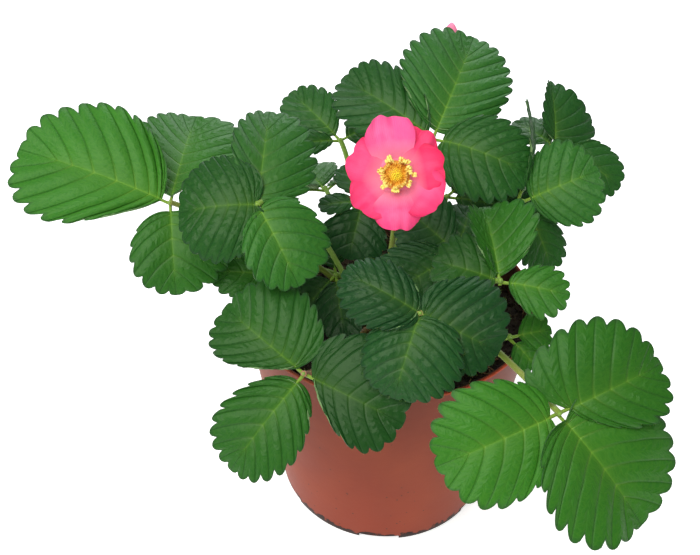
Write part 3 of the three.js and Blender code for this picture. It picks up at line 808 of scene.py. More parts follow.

# %% [markdown]
# Each leaf is three leaflets that meet at a hub. The table gives, for each leaf, its hub, the side that
# its upper face looks to, where its stalk stands on the crown, and its three leaflets, in millimetres
# and degrees. Hubs and sides are the plain model's own and the headings nearly so, so that the fine
# leaves lie where the plain ones do. `tones` goes from 0 for the dark leaves in the middle to 1 for the
# light ones outside, and `cool` from 0 for a warm green to 1 for a bluish one, which is partly the
# leaf's own hue and partly a painted sheen. Leaves could be strewn at random with less work, but that
# would be another plant.

# %% Leaves in front and on the left
# A leaflet's row: heading, pitch, length, width, teeth on a side, arch in radians, wedge, and what is
# special about it. A lobe is how far its base reaches back past its stalk, on the left or on the right.
LEAVES = {
    "left_outer": {
        "hub": (-93, 4, 156),
        "face": (-80, 48),
        "root": (12, 178),
        "leaflets": [
            (168, 15, 63, 59, 8, 0.5, 0.76,
             {"lean": -0.1, "skew": -0.25, "roll": 6, "plain": 0.28, "pleat": 0.95, "vein_power": 3.0}),
            (87, 9, 56, 52, 8, 0.4, 0.95, {"lean": -0.12, "skew": 0.25, "plain": 0.38, "pleat": 0.35}),
            (-83, -49, 36, 42, 6, 0.5, 0.5, {"lean": 0.15}),
        ],
        "tones": (0.9, 0.5, 0.45),
        "cool": 0.25,
    },
    "left_inner": {
        "hub": (-53, -21, 171),
        "face": (-80, 50),
        "root": (12, 200),
        "bow": (0, 0, 14),
        "leaflets": [
            (175, -11, 31, 44, 8, 0.9, 0.5,
             {"start": 0.5, "lobe_left": 0.6, "lobe_right": 0.4, "pleat": 0.5, "pucker": 2.0,
              "cup": 0.45}),
            (87, 22, 46, 35, 8, 0.5, 0.5,
             {"start": 1.5, "lean": -0.25, "skew": -0.3, "plain": 0.12, "lobe_right": 0.05,
              "pleat": 0.5}),
            (-51, -44, 34, 35, 6, 0.6, 0.6,
             {"start": 1.5, "lean": 0.15, "lobe_left": 0.35, "pleat": 0.7}),
        ],
        "tones": (0.2, 0.45, 0.65),
        "cool": 0.5,
    },
    "front_left": {
        "hub": (-35, -65, 124),
        "face": (-100, 50),
        "root": (12, 242),
        "bow": (0, 0, -9),
        "leaflets": [
            (141, 15, 39, 41, 8, 0.5, 0.75, {"lean": -0.2, "skew": -0.4, "lobe_right": 0.3}),
            (-142, -40, 43, 36, 8, 0.5, 0.65,
             {"skew": 0.1, "lobe_left": 0.1, "lobe_right": 0.12, "pleat": 0.8}),
            (-22, -15, 38, 42, 7, 0.6, 0.8,
             {"lean": 0.2, "skew": 0.4, "lobe_left": 0.35, "pleat": 0.35}),
        ],
        "tones": (0.25, 0.4, 0.05),
        "cool": 0.25,
    },
    "front_centre": {
        "hub": (8, -57, 147),
        "face": (-90, 55),
        "root": (12, 272),
        "bow": (0, -6, -4),
        "leaflets": [
            (-115, -47, 32, 38, 8, 0.8, 0.5,
             {"start": 1.0, "lean": 0.12, "lobe_left": 0.4, "lobe_right": 0.3, "pucker": 1.6,
              "pleat": 0.7, "roll": 8, "cup": 0.42}),
            (154, 14, 33, 27, 8, 0.8, 0.6,
             {"start": 0.0, "lean": 0.1, "lobe_left": 0.2, "lobe_right": 0.05, "pucker": 1.6,
              "pleat": 0.8, "cup": 0.45}),
            (-14, -23, 32, 38, 8, 0.8, 0.6,
             {"start": 0.5, "lean": 0.2, "lobe_left": 0.45, "pucker": 1.6, "pleat": 0.9,
              "roll": 12, "cup": 0.42}),
        ],
        "tones": (0.25, 0.1, 0.15),
        "cool": 1.0,
    },
    "right_inner": {
        "hub": (40, -39, 148),
        "face": (-80, 55),
        "root": (12, 322),
        "leaflets": [
            (97, 22, 33, 27, 6, 0.4, 0.7, {"start": 2.0, "lean": -0.25, "fold": 1.1, "pucker": 2.0}),
            (164, 8, 25, 30, 5, 0.5, 0.7, {"start": 2.0, "lobe_left": 0.15, "teeth_depth": 1.5}),
            (-15, -4, 23, 22, 5, 0.4, 0.7, {"lean": -0.1, "lobe_left": 0.1, "teeth_depth": 1.6}),
        ],
        "tones": (0.5, 0.2, 0.65),
        "cool": 0.2,
    },
}
print("leaves in front and on the left:", len(LEAVES))

# %% [markdown]
# The top leaf stands behind the flower. The others of this group look out on the left behind it, and
# on the right from the back down to the rim of the pot.

# %% Leaves above and at the side
LEAVES |= {
    "top": {
        "hub": (17, 16, 180),
        "face": (-85, 45),
        "root": (6, 45),
        "leaflets": [
            (67, 25, 53, 50, 10, 0.5, 0.6, {"lean": 0.05, "lobe_right": 0.12}),
            (143, 15, 45, 36, 9, 0.5, 0.75, {}),
            (-19, -14, 39, 37, 8, 0.9, 0.55, {"lean": -0.1, "lobe_right": 0.2, "pucker": 1.5}),
        ],
        "tones": (0.65, 0.25, 0.35),
        "cool": 0.7,
    },
    "left_back": {
        "hub": (-22, 44, 164),
        "face": (-90, 50),
        "root": (12, 135),
        "leaflets": [
            (135, 20, 31, 26, 6, 0.4, 0.75, {}),
            (-166, 0, 22, 14, 5, 0.4, 0.75, {}),
            (35, 3, 12, 16, 4, 0.4, 0.75, {}),
        ],
        "tones": (0.35, 0.25, 0.2),
        "cool": 0.7,
    },
    "right": {
        "hub": (53, -3, 161),
        "face": (-60, 52),
        "root": (12, 358),
        "bow": (0, -3, -8),
        "leaflets": [
            (8, 21, 29, 38, 7, 0.5, 0.6, {"lobe_left": 0.1, "lobe_right": 0.1}),
            (83, 39, 41, 24, 7, 0.5, 0.75, {"roll": 58}),
            (-53, -50, 28, 25, 6, 0.5, 0.75, {}),
        ],
        "tones": (0.65, 0.3, 0.3),
        "cool": 0.6,
    },
    "right_back": {
        "hub": (76, 43, 161),
        "face": (-60, 45),
        "root": (12, 26),
        "leaflets": [
            (91, 33, 32, 30, 7, 0.4, 0.5, {"lean": -0.45, "tip": 1.05, "fold": 0.5, "lobe_right": 0.5}),
            (-26, -23, 31, 28, 6, 0.5, 0.7, {}),
            (131, 5, 22, 22, 5, 0.4, 0.75, {}),
        ],
        "tones": (0.25, 0.4, 0.3),
        "cool": 0.7,
    },
    "front_right": {
        "hub": (57, -85, 124),
        "face": (-70, 50),
        "root": (12, 298),
        "bow": (6, 0, 6),
        "leaflets": [
            (23, 11, 41, 45, 8, 0.4, 0.62,
             {"lean": 0.22, "skew": 0.4, "plain": 0.12, "lobe_left": 0.65, "teeth_depth": 1.15}),
            (-162, -14, 45, 45, 7, 0.4, 0.6,
             {"lobe_left": 0.12, "lobe_right": 0.3, "pleat": 0.7}),
            (-37, -42, 47, 59, 8, 0.5, 0.5,
             {"lean": 0.06, "plain": 0.18, "lobe_left": 0.35, "lobe_right": 0.15, "teeth_depth": 1.15}),
        ],
        "tones": (0.45, 0.8, 0.6),
        "cool": 0.1,
    },
    "rim_right": {
        "hub": (47, -40, 120),
        "face": (-70, 55),
        "root": (12, 340),
        "leaflets": [
            (11, 3, 14, 18, 4, 0.4, 0.75, {"teeth_depth": 1.5}),
            (-49, -26, 13, 16, 4, 0.4, 0.75, {"teeth_depth": 1.5}),
            (-170, -15, 15, 16, 4, 0.4, 0.75, {}),
        ],
        "tones": (0.7, 0.6, 0.3),
        "cool": 0.2,
    },
}
print("with those above and at the side:", len(LEAVES))

# %% [markdown]
# Lower leaves show only in part between the others. Most are small, dark and bluish, and their rows are
# short, since little of them is seen.

# %% Leaves below
LEAVES |= {
    "low_left": {
        "hub": (-24, -4, 124),
        "face": (-100, 50),
        "root": (7, 190),
        "leaflets": [
            (-140, -32, 23, 28, 5, 0.4, 0.75, {}),
            (-80, -30, 26, 26, 5, 0.4, 0.75, {}),
            (96, 20, 22, 20, 5, 0.4, 0.75, {}),
        ],
        "tones": (0.1, 0.05, 0.15),
        "cool": 1.0,
    },
    "mid_left": {
        "hub": (-12, 13, 151),
        "face": (-90, 50),
        "root": (7, 140),
        "leaflets": [
            (-175, -6, 16, 12, 4, 0.4, 0.75, {"roll": 20}),
            (118, 22, 17, 14, 4, 0.4, 0.75, {}),
            (-110, -46, 23, 30, 5, 0.4, 0.75, {}),
        ],
        "tones": (0.2, 0.2, 0.05),
        "cool": 0.9,
    },
    "mid_right": {
        "hub": (26, -17, 145),
        "face": (-95, 55),
        "root": (7, 325),
        "leaflets": [
            (-154, -22, 33, 40, 8, 0.8, 0.6,
             {"lean": 0.15, "lobe_left": 0.25, "pucker": 1.6, "pleat": 0.9, "cup": 0.4}),
            (140, 20, 24, 30, 6, 0.5, 0.75, {}),
            (72, 17, 22, 24, 5, 0.4, 0.75, {}),
        ],
        "tones": (0.25, 0.15, 0.15),
        "cool": 1.0,
    },
    "behind_right": {
        "hub": (25, 17, 151),
        "face": (-80, 50),
        "root": (7, 5),
        "leaflets": [
            (-13, -7, 37, 28, 6, 0.5, 0.75, {}),
            (45, 11, 34, 26, 6, 0.4, 0.75, {}),
            (-105, -39, 18, 24, 4, 0.4, 0.75, {}),
        ],
        "tones": (0.15, 0.2, 0.1),
        "cool": 0.9,
    },
    "under_left": {
        "hub": (-48, -7, 126),
        "face": (-95, 50),
        "root": (12, 157),
        "bow": (0, 14, -4),
        "leaflets": [
            (-177, 6, 26, 22, 5, 0.5, 0.75, {}),
            (-100, -40, 22, 24, 4, 0.5, 0.75, {}),
            (100, -15, 22, 20, 4, 0.5, 0.75, {}),
        ],
        "tones": (0.3, 0.3, 0.3),
        "cool": 0.2,
    },
}
print("with those below:", len(LEAVES))

# %% [markdown]
# The picture doesn't show the back. A plant like this is leafy all round, so three leaves are guessed
# there, and they hang outwards over the rim.

# %% Leaves at the back
LEAVES |= {
    "back_left": {
        "hub": (-30, 62, 128),
        "face": (115, 55),
        "root": (12, 115),
        "leaflets": [
            (120, -15, 40, 38, 7, 0.6, 0.65, {"lobe_left": 0.15}),
            (-165, -5, 28, 30, 6, 0.5, 0.7, {}),
            (40, -5, 26, 28, 6, 0.5, 0.7, {"lobe_left": 0.15}),
        ],
        "tones": (0.5, 0.4, 0.4),
        "cool": 0.4,
    },
    "back_middle": {
        "hub": (12, 72, 134),
        "face": (85, 50),
        "root": (12, 84),
        "leaflets": [
            (88, -15, 42, 40, 8, 0.6, 0.65, {"pleat": 0.7}),
            (170, -5, 26, 28, 5, 0.5, 0.7, {"lobe_right": 0.15}),
            (10, -5, 28, 30, 6, 0.5, 0.7, {"lobe_left": 0.15}),
        ],
        "tones": (0.6, 0.5, 0.4),
        "cool": 0.3,
    },
    "back_right": {
        "hub": (50, 62, 126),
        "face": (60, 50),
        "root": (12, 56),
        "leaflets": [
            (55, -15, 38, 36, 7, 0.6, 0.65, {"lobe_right": 0.15}),
            (130, -5, 26, 28, 5, 0.5, 0.7, {}),
            (-20, -5, 26, 28, 5, 0.5, 0.7, {}),
        ],
        "tones": (0.5, 0.4, 0.5),
        "cool": 0.4,
    },
}
print("leaves in all:", len(LEAVES))

# %% [markdown]
# Each leaflet grows on its own axis, and a matrix then puts it at the hub: X along its midrib, Z as near
# as it can to the side that the leaf looks to. Turning an object would do the same, but its paint would
# turn with it, and every piece has to lie at the origin.

# %% Leaves
WAVE_SHARE = 0.025
EDGE_HAIRS = 0.5
SEED_STEP = 3.7


def frame_of(origin, direction, face, roll=0.0):
    """The matrix whose X runs along direction and whose Z leans towards face."""
    x = direction.normalized()
    z = (face - x * face.dot(x)).normalized()
    z.rotate(Matrix.Rotation(math.radians(roll), 3, x))
    y = z.cross(x)
    return Matrix.Translation(origin) @ Matrix((x, y, z)).transposed().to_4x4()


def grow_leaflet(leaf, row, tone, seed):
    azimuth, pitch, length, width, teeth, arch, wedge, special = row
    special = dict(special)
    roll = special.pop("roll", 0)
    start = special.pop("start", LEAFLET_START / MM)
    mesh = grow(
        leaflet,
        leaf_green,
        length=length * MM,
        width=width * MM,
        teeth=teeth,
        arch=arch,
        wedge=wedge,
        wave=WAVE_SHARE * length * MM,
        tone=tone,
        cool=leaf["cool"],
        seed=seed,
        hairs=EDGE_HAIRS,
        **special,
    )
    direction = heading(azimuth, pitch)
    base = at(*leaf["hub"]) + direction * start * MM
    mesh.transform(frame_of(base, direction, heading(*leaf["face"]), roll))
    return mesh


def make_leaves():
    for number, (name, leaf) in enumerate(LEAVES.items()):
        meshes = []
        for turn, (row, tone) in enumerate(zip(leaf["leaflets"], leaf["tones"])):
            meshes.append(grow_leaflet(leaf, row, tone, SEED_STEP * number + turn))
        finished(f"blades_{name}", meshes, [f"leaf_{name}"])


make_leaves()

# %% [markdown]
# Stalks rise from the crown, bend over and end under what they carry. A Bezier curve has just this
# shape: it leaves its start towards the first handle and comes in to its end from the second. The
# cutter sweeps a ring with a groove along the curve, wider at the foot, where a stalk has its sheath,
# and sets fine hairs on it.

# %% Stalk cutter
STALK_SIZES = {
    "Start": Vector((0, 0, 0)),
    "Rise": Vector((0, 0, 0.05)),
    "Fall": Vector((0.02, 0, 0.1)),
    "End": Vector((0.05, 0, 0.1)),
    "Radius": 0.0013,
    "Sheath": 0.6,
    "Blush": 0.0,
    "Hairs": 200000.0,
}
STALK_SIDES = 14
STALK_STEPS = 52
STALK_HAIR = 1.1 * MM
STALK_HAIR_WIDTH = 0.04 * MM
HUB_SIZE = 0.6


def lump(cut, subdivisions, radius):
    """A ball of triangles, rounder with each subdivision."""
    return cut.step("GeometryNodeMeshIcoSphere", {"Radius": radius, "Subdivisions": subdivisions})


def stalk_cutter():
    cut = Cutter("stalk", STALK_SIZES)
    inputs = {"Resolution": STALK_STEPS, "Start": cut.size("Start"), "Start Handle": cut.size("Rise")}
    inputs |= {"End Handle": cut.size("Fall"), "End": cut.size("End")}
    line = cut.step("GeometryNodeCurvePrimitiveBezierSegment", inputs)
    line = cut.step("GeometryNodeResampleCurve", {"Curve": line, "Count": STALK_STEPS})
    share = cut.step("GeometryNodeSplineParameter")
    foot = exponential(share * -11.0) * cut.size("Sheath")
    radius = cut.size("Radius") * (1.05 + foot - share * 0.15)
    ring = cut.ring(STALK_SIDES)
    x, y, _ = cut.split(cut.step("GeometryNodeInputPosition"))
    groove = 1.0 - exponential((y - 1.0) * 6.0) * 0.22
    ring = cut.place(ring, cut.vector(x * groove, y * groove, 0.0))
    bar = cut.keep(cut.rod(line, ring, radius), "blush", cut.size("Blush"))
    inputs = {"Geometry": lump(cut, 3, HUB_SIZE), "Translation": cut.size("End")}
    inputs["Scale"] = cut.size("Radius")
    body = cut.join(bar, cut.step("GeometryNodeTransform", inputs))
    points, upright = cut.scattered(body, cut.size("Hairs"))
    lean = cut.luck((-0.5, -0.5, 0.0), (0.5, 0.5, 0.0))
    turn = cut.step("FunctionNodeRotateRotation", {0: upright, 1: lean}, rotation_space="LOCAL")
    hairs = hairs_on(cut, points, True, turn, STALK_HAIR, STALK_HAIR_WIDTH)
    cut.serve(cut.join(body, hairs))
    return cut


stalk = stalk_cutter()

# %% [markdown]
# The stalks are yellow-green with olive patches, and some have a red flush, stronger on one than on
# another. `blush` is kept on each mesh and says how red it is, so one paint serves all of them. The
# hairs are paler than the stalk.

# %% Stalk paint
STALK_GREEN = "7ca434"
STALK_PALE = "a8c070"
STALK_OLIVE = "7a9a3c"
STALK_RED = "a04a3c"


def paint_stalk():
    paint = Paint("petiole_green", Sheen_Weight=0.15, Sheen_Roughness=0.5)
    patches = paint.noise(60.0, 3.0)
    green = paint.mix(ramp(patches, 0.35, 0.7), STALK_GREEN, STALK_OLIVE)
    flush = paint.mix(paint.value("blush") * ramp(patches, 0.2, 0.6), green, STALK_RED)
    haired = paint.mix(paint.value("rib"), flush, STALK_PALE)
    return paint.finish(haired, 0.45, paint.noise(500.0) * (0.08 * MM))


petiole_green = paint_stalk()

# %% [markdown]
# Each leaf's stalk starts on the crown, under its root in the table, and comes in to the hub from below
# and a little from inside. `bow` pushes its two handles sideways, where the stalk makes a detour.

# %% Stalks
STALK_FOOT_HEIGHT = 97
CROWN_RADIUS = 15
RISE = 0.42
FALL = 0.3
OUTWARD_LEAN = 0.7
BLUSHES = {"front_left": 0.8, "left_outer": 0.3, "front_right": 0.25, "front_centre": 0.35}


def stalk_sizes(root, end, arrival, bow=(0, 0, 0)):
    """The four points of a stalk's curve."""
    start = heading(root[1], 0) * root[0] * MM
    start.z = STALK_FOOT_HEIGHT * MM
    reach = (end - start).length
    upward = Vector((start.x, start.y, 2 * CROWN_RADIUS * MM)).normalized()
    rise = start + upward * reach * RISE + at(*bow)
    fall = end - arrival * reach * FALL + at(*bow)
    return {"start": start, "rise": rise, "fall": fall, "end": end}


def make_petioles():
    for name, leaf in LEAVES.items():
        hub = at(*leaf["hub"])
        outward = Vector((hub.x, hub.y, 0)).normalized() * OUTWARD_LEAN
        arrival = (heading(*leaf["face"]) + outward).normalized()
        sizes = stalk_sizes(leaf["root"], hub, arrival, leaf.get("bow", (0, 0, 0)))
        mesh = grow(stalk, petiole_green, **sizes, blush=BLUSHES.get(name, 0.0))
        finished(f"stalk_{name}", [mesh], [f"petiole_{name}"])


make_petioles()

# %% [markdown]
# The pot is thin moulded plastic with a rounded rim and a notched foot. It is round, so its outline is
# nearly all it needs: a list of radii and heights that goes out along the bottom, up the outside, down
# the inside and back over the floor.

# %% Pot outline
FOOT_RADIUS = 52.5
RIM_RADIUS = 65
POT_HEIGHT = 110
POT_OUTLINE = [
    (0, 0),
    (12, 0),
    (13, 3),
    (47.5, 3),
    (48.3, 0),
    (51.7, 0),
    (52.3, 0.2),
    (52.57, 0.8),
    (52.94, 4),
    (53.6, 10),
    (58, 48.4),
    (62.5, 88),
    (64.86, 108.8),
    (64.95, 109.4),
    (64.75, 109.8),
    (64.2, 110),
    (63.7, 109.85),
    (63.3, 109.4),
    (60.7, 88),
    (52.0, 12),
    (51.27, 5.6),
    (50.6, 5),
    (0, 5),
]


def outer_radius(z):
    return FOOT_RADIUS + (RIM_RADIUS - FOOT_RADIUS) * z / POT_HEIGHT


print("the wall leans out by", round(outer_radius(POT_HEIGHT) - outer_radius(0), 1), "mm")

# %% [markdown]
# A grid is bent round the axis, with one row for each point of the outline. A modifier could spin the
# outline too, but a tree can take any outline and go on with the result. Where the grid's two sides
# meet, and where a row lies on the axis, its points are merged, so that the solid is closed.

# %% Turned solids
SEAM = 0.01 * MM


def turned(cut, outline, sides):
    """A solid turned from an outline of radii and heights in millimetres, bottom first."""
    inputs = {"Size X": 1.0, "Size Y": 1.0, "Vertices X": sides + 1, "Vertices Y": len(outline)}
    grid = cut.node("GeometryNodeMeshGrid", inputs)
    around, row, _ = cut.split(Link(cut, grid.outputs["UV Map"]))
    number = row * (len(outline) - 1.0) + 0.5
    switch = cut.node("GeometryNodeIndexSwitch", {0: number}, data_type="VECTOR")
    while len(switch.index_switch_items) < len(outline):
        switch.index_switch_items.new()
    for socket, (radius, height) in zip(switch.inputs[1:], outline):
        socket.default_value = at(radius, 0, height)
    radius, _, height = cut.split(Link(cut, switch.outputs[0]))
    angle = around * math.tau
    place = cut.vector(radius * cosine(angle), radius * sine(angle), height)
    return cut.weld(cut.place(Link(cut, grid.outputs["Mesh"]), place), SEAM)


def sharp_by_angle(cut, mesh, degrees):
    """Keeps the edges that bend more than this sharp, and the rest smooth."""
    inputs = {"A": cut.step("GeometryNodeInputMeshEdgeAngle"), "B": math.radians(degrees)}
    sharp = cut.step("FunctionNodeCompare", inputs, operation="GREATER_THAN")
    mesh = cut.step("GeometryNodeSetShadeSmooth", {"Geometry": mesh, "Shade Smooth": True})
    inputs = {"Geometry": mesh, "Selection": sharp, "Shade Smooth": False}
    return cut.step("GeometryNodeSetShadeSmooth", inputs, domain="EDGE")


# %% [markdown]
# Boxes cut the six notches out of the foot, and rods the drain holes, which lie between them. A cut
# takes its shape from the box, so the notches have the clean edges of moulded plastic.

# %% Pot cutter
POT_SIDES = 160
NOTCHES = 6
NOTCH_WIDTH = 19
NOTCH_HEIGHT = 2.6
FIRST_NOTCH = -94
NOTCH_LENGTH = 20
DRAIN_RADIUS = 4
DRAIN_RING = 34
DRAIN_ROD = 15


def ring_of(cut, shape, count, radius):
    """Copies of a shape on a ring, each turned to face out."""
    ring = cut.step("GeometryNodeMeshCircle", {"Vertices": count, "Radius": radius})
    number = cut.step("GeometryNodeInputIndex")
    return cut.copies(ring, shape, cut.turn(0.0, 0.0, number * (math.tau / count)))


def spun(cut, mesh, degrees):
    inputs = {"Geometry": mesh, "Rotation": (0, 0, math.radians(degrees))}
    return cut.step("GeometryNodeTransform", inputs)


def pot_cutter():
    cut = Cutter("pot", {"Notch Width": NOTCH_WIDTH * MM, "Notch Height": NOTCH_HEIGHT * MM})
    wall = turned(cut, POT_OUTLINE, POT_SIDES)
    size = cut.vector(NOTCH_LENGTH * MM, cut.size("Notch Width"), cut.size("Notch Height") * 2.0)
    box = cut.step("GeometryNodeMeshCube", {"Size": size})
    notches = spun(cut, ring_of(cut, box, NOTCHES, FOOT_RADIUS * MM), FIRST_NOTCH)
    inputs = {"Vertices": 24, "Radius": DRAIN_RADIUS * MM, "Depth": DRAIN_ROD * MM}
    rod = cut.step("GeometryNodeMeshCylinder", inputs)
    drains = spun(cut, ring_of(cut, rod, NOTCHES, DRAIN_RING * MM), FIRST_NOTCH + 180 / NOTCHES)
    inputs = {"Mesh 1": wall, "Mesh 2": cut.join(notches, drains)}
    pot = cut.step("GeometryNodeMeshBoolean", inputs, operation="DIFFERENCE", solver="EXACT")
    cut.serve(sharp_by_angle(cut, pot, 40))
    return cut


# %% [markdown]
# The plastic is a red-brown, redder and lighter near the foot and darker brown under the rim, a painted
# shade for the leaves above it. It has faint upright streaks, a few dark specks, a ragged line of dirt
# round the foot, and an inside darkened by dust and painted shade. On the rim a painted highlight makes
# it light red on the right, and painted shade darkens it on the left. Each of these is a mix over the
# last one, from the height, the distance from the axis, or noise.

# %% Pot
POT_RED = "903b24"
POT_SHADE_BROWN = "663021"
POT_FADED = "ad5a3a"
POT_RIM_HIGHLIGHT = "c2492a"
POT_RIM_SHADE = "9a4a34"
POT_DUST_AND_SHADE = "3a2e28"
POT_DIRT = "1c140e"


def paint_pot():
    paint = Paint("pot_terracotta", Specular_IOR_Level=0.1)
    spot = paint.spot()
    x, y, z = paint.split(spot)
    height = ramp(z, 0.0, POT_HEIGHT * MM)
    streaks = paint.noise(60.0, 3.0, paint.vector(x, y, z * 0.1))
    cloud = paint.noise(25.0, 4.0)
    # Painted shade: the plastic turns darker brown towards the rim, under the leaves.
    base = paint.mix(height * 0.75 + streaks * 0.3 - 0.15, POT_RED, POT_SHADE_BROWN)
    faded = paint.mix(ramp(cloud, 0.45, 0.75) * 0.25, base, POT_FADED)
    # Painted highlight on the right of the rim, and painted shade on its left.
    rim = paint.mix(ramp(x, -10.0 * MM, 50.0 * MM), POT_RIM_SHADE, POT_RIM_HIGHLIGHT)
    rim_lit_and_shaded = paint.mix(ramp(z, 108.6 * MM, 109.4 * MM), faded, rim)
    dirt = ramp(paint.noise(300.0, 3.0) - z / MM * 0.08, 0.14, 0.22)
    soiled = paint.mix(dirt * 0.95, rim_lit_and_shaded, POT_DIRT)
    specks = 1.0 - ramp(paint.cells(250.0), 0.06, 0.13)
    chance = ramp(paint.noise(90.0) - height * 0.2, 0.42, 0.48)
    specked = paint.mix(specks * chance * 0.9, soiled, POT_DUST_AND_SHADE)
    taper = z * ((RIM_RADIUS - FOOT_RADIUS) / POT_HEIGHT)
    # Painted shade with dust: the inside of the wall is darker.
    inside = ramp(distance(x, y) - taper - FOOT_RADIUS * MM, -0.4 * MM, -1.2 * MM)
    dusty_and_shaded = paint.mix(inside * (0.6 + 0.4 * cloud), specked, POT_DUST_AND_SHADE)
    bump = paint.noise(400.0, 2.0) * (0.03 * MM) + cloud * (0.4 * MM)
    return paint.finish(dusty_and_shaded, 0.38 + 0.2 * cloud + 0.2 * inside, bump)


pot_terracotta = paint_pot()
finished("pot_wall", [grow(pot_cutter(), pot_terracotta)], ["pot"])

# %% [markdown]
# Loose soil is crumbs in two sizes and short fibres of bark. A bump in the paint would look flat near
# the rim, where the soil is seen from the side, so they are real pieces. Each grows on a random point,
# with a fixed seed, and is turned any way and roughened.

# %% Loose soil
TURN_ANY = (6.3, 6.3, 6.3)
CRUMB_SIZES = (0.5 * MM, 1.3 * MM)
LUMP_SIZES = (1.0 * MM, 2.4 * MM)
FIBRE_LOW = (4 * MM, 1.0, 1.0)
FIBRE_HIGH = (11 * MM, 1.6, 1.0)


def scatter(cut, mesh, selection, density, shape, low, high, seed):
    """Copies of a shape on random points, turned any way, with random sizes."""
    points, _ = cut.scattered(mesh, density, selection, seed)
    turn = cut.luck((0.0, 0.0, 0.0), TURN_ANY, seed)
    size = cut.luck((low, low, low * 0.6), (high, high, high * 0.7), seed + 1)
    return cut.copies(points, shape, turn, size)


def roughened(cut, mesh, amount, scale):
    """Moves every point a little, by the same noise everywhere."""
    spot = cut.step("GeometryNodeInputPosition")
    noise = cut.step("ShaderNodeTexNoise", {"Vector": spot, "Scale": scale, "Detail": 1.0}, 1)
    shift = cut.scaled(cut.vectors("SUBTRACT", noise, (0.5, 0.5, 0.5)), amount * 2.0)
    return cut.step("GeometryNodeSetPosition", {"Geometry": mesh, "Offset": shift})


def fibres(cut, mesh, selection):
    """Bent splinters that lie nearly flat."""
    inputs = {"Vertices": 5, "Side Segments": 4, "Radius Top": 0.2 * MM, "Radius Bottom": 0.35 * MM}
    stick = cut.step("GeometryNodeMeshCone", {**inputs, "Depth": 1.0})
    inputs = {"Geometry": stick, "Rotation": (0.0, math.pi / 2, 0.0)}
    stick = cut.step("GeometryNodeTransform", inputs)
    points, _ = cut.scattered(mesh, cut.size("Fibres"), selection, 9)
    turn = cut.luck((-0.2, -0.5, 0.0), (0.2, 0.5, 6.3), 9)
    sticks = cut.copies(points, stick, turn, cut.luck(FIBRE_LOW, FIBRE_HIGH, 4))
    return roughened(cut, sticks, 1.2 * MM, 160.0)


# %% [markdown]
# The soil fills the pot up to a little under its rim. Its top is a disc of fine rings, raised by broad
# humps, small lumps and a bank at the back, because a level top would look poured. Under the top it
# follows the inside of the wall.

# %% Soil cutter
SOIL_LOW = 5.35
SOIL_LEVEL = 97
SOIL_SHRINK = 2.15
SOIL_EDGE = 94
SOIL_RINGS = 56
SOIL_ROUGHNESS = 5.0
BANK_HEIGHT = 2.5


def soil_cutter():
    cut = Cutter("soil", {"Crumbs": 110000.0, "Lumps": 22000.0, "Fibres": 11000.0})
    inputs = {"Vertices": POT_SIDES, "Side Segments": 6, "Fill Segments": SOIL_RINGS}
    inputs |= {"Radius": 1.0, "Depth": 1.0}
    node = cut.node("GeometryNodeMeshCylinder", inputs, fill_type="TRIANGLE_FAN")
    x, y, z = cut.split(cut.step("GeometryNodeInputPosition"))
    high = z + 0.5
    low_radius = outer_radius(SOIL_LOW) - SOIL_SHRINK
    radius = low_radius + (outer_radius(SOIL_EDGE) - SOIL_SHRINK - low_radius) * high
    x = x * radius
    y = y * radius
    humps = 1.2 * sine(x / 9.0 + 1.0) * cosine(y / 7.0) + 0.8 * sine(x / 4.3 - y / 5.1)
    bank = ramp(y, 20.0, 60.0)
    bank = bank * bank * (3.0 - 2.0 * bank) * BANK_HEIGHT
    inputs = {"Vector": cut.vector(x, y, 0.0), "Scale": 0.3, "Detail": 4.0}
    rough = cut.step("ShaderNodeTexNoise", inputs)
    level = SOIL_LEVEL + humps + bank + (rough - 0.5) * SOIL_ROUGHNESS
    place = cut.scaled(cut.vector(x, y, SOIL_LOW + (level - SOIL_LOW) * high), MM)
    body = cut.keep(cut.place(Link(cut, node.outputs["Mesh"]), place), "crumb", 0.0)
    top = Link(cut, node.outputs["Top"])
    crumbs = scatter(cut, body, top, cut.size("Crumbs"), lump(cut, 1, 1.0), *CRUMB_SIZES, 1)
    crumbs = roughened(cut, crumbs, 0.5 * MM, 900.0)
    lumps = scatter(cut, body, top, cut.size("Lumps"), lump(cut, 2, 1.0), *LUMP_SIZES, 5)
    lumps = roughened(cut, lumps, 1.1 * MM, 500.0)
    loose = cut.keep(cut.join(crumbs, lumps), "crumb", 1.0)
    cut.serve(cut.join(body, loose, cut.keep(fibres(cut, body, top), "crumb", 2.0)))
    return cut


# %% [markdown]
# Wet peat is nearly black, and its dry crumbs are paler. Three paints could say so, but one paint that
# reads `crumb` keeps the soil one piece: it is 0 on the bed, 1 on the crumbs and lumps, and 2 on the
# fibres, which are the colour of bark.

# %% Soil
SOIL_DARK = "241c18"
SOIL_PALE = "5a4636"
FIBRE_BROWN = "6e5338"


def paint_soil():
    paint = Paint("soil_brown", Specular_IOR_Level=0.25)
    crumb = paint.value("crumb")
    patches = paint.noise(160.0, 4.0)
    dry = ramp(patches, 0.4, 0.75) * (0.35 + 0.35 * least(crumb, 1.0))
    earth = paint.mix(dry, SOIL_DARK, SOIL_PALE)
    sticks = paint.mix(most(crumb - 1.0, 0.0), earth, FIBRE_BROWN)
    return paint.finish(sticks, 0.95, paint.noise(1200.0, 3.0) * (0.3 * MM))


soil_brown = paint_soil()
finished("soil_bed", [grow(soil_cutter(), soil_brown)], ["soil"])

# %% [markdown]
# The crown is the short woody stem in the middle. Old leaf bases stand round it on a spiral: brown
# papery scales that clasp it and point up. One scale is bent from a grid, and each further one turns by
# the golden angle, as real leaves do, so they never line up.

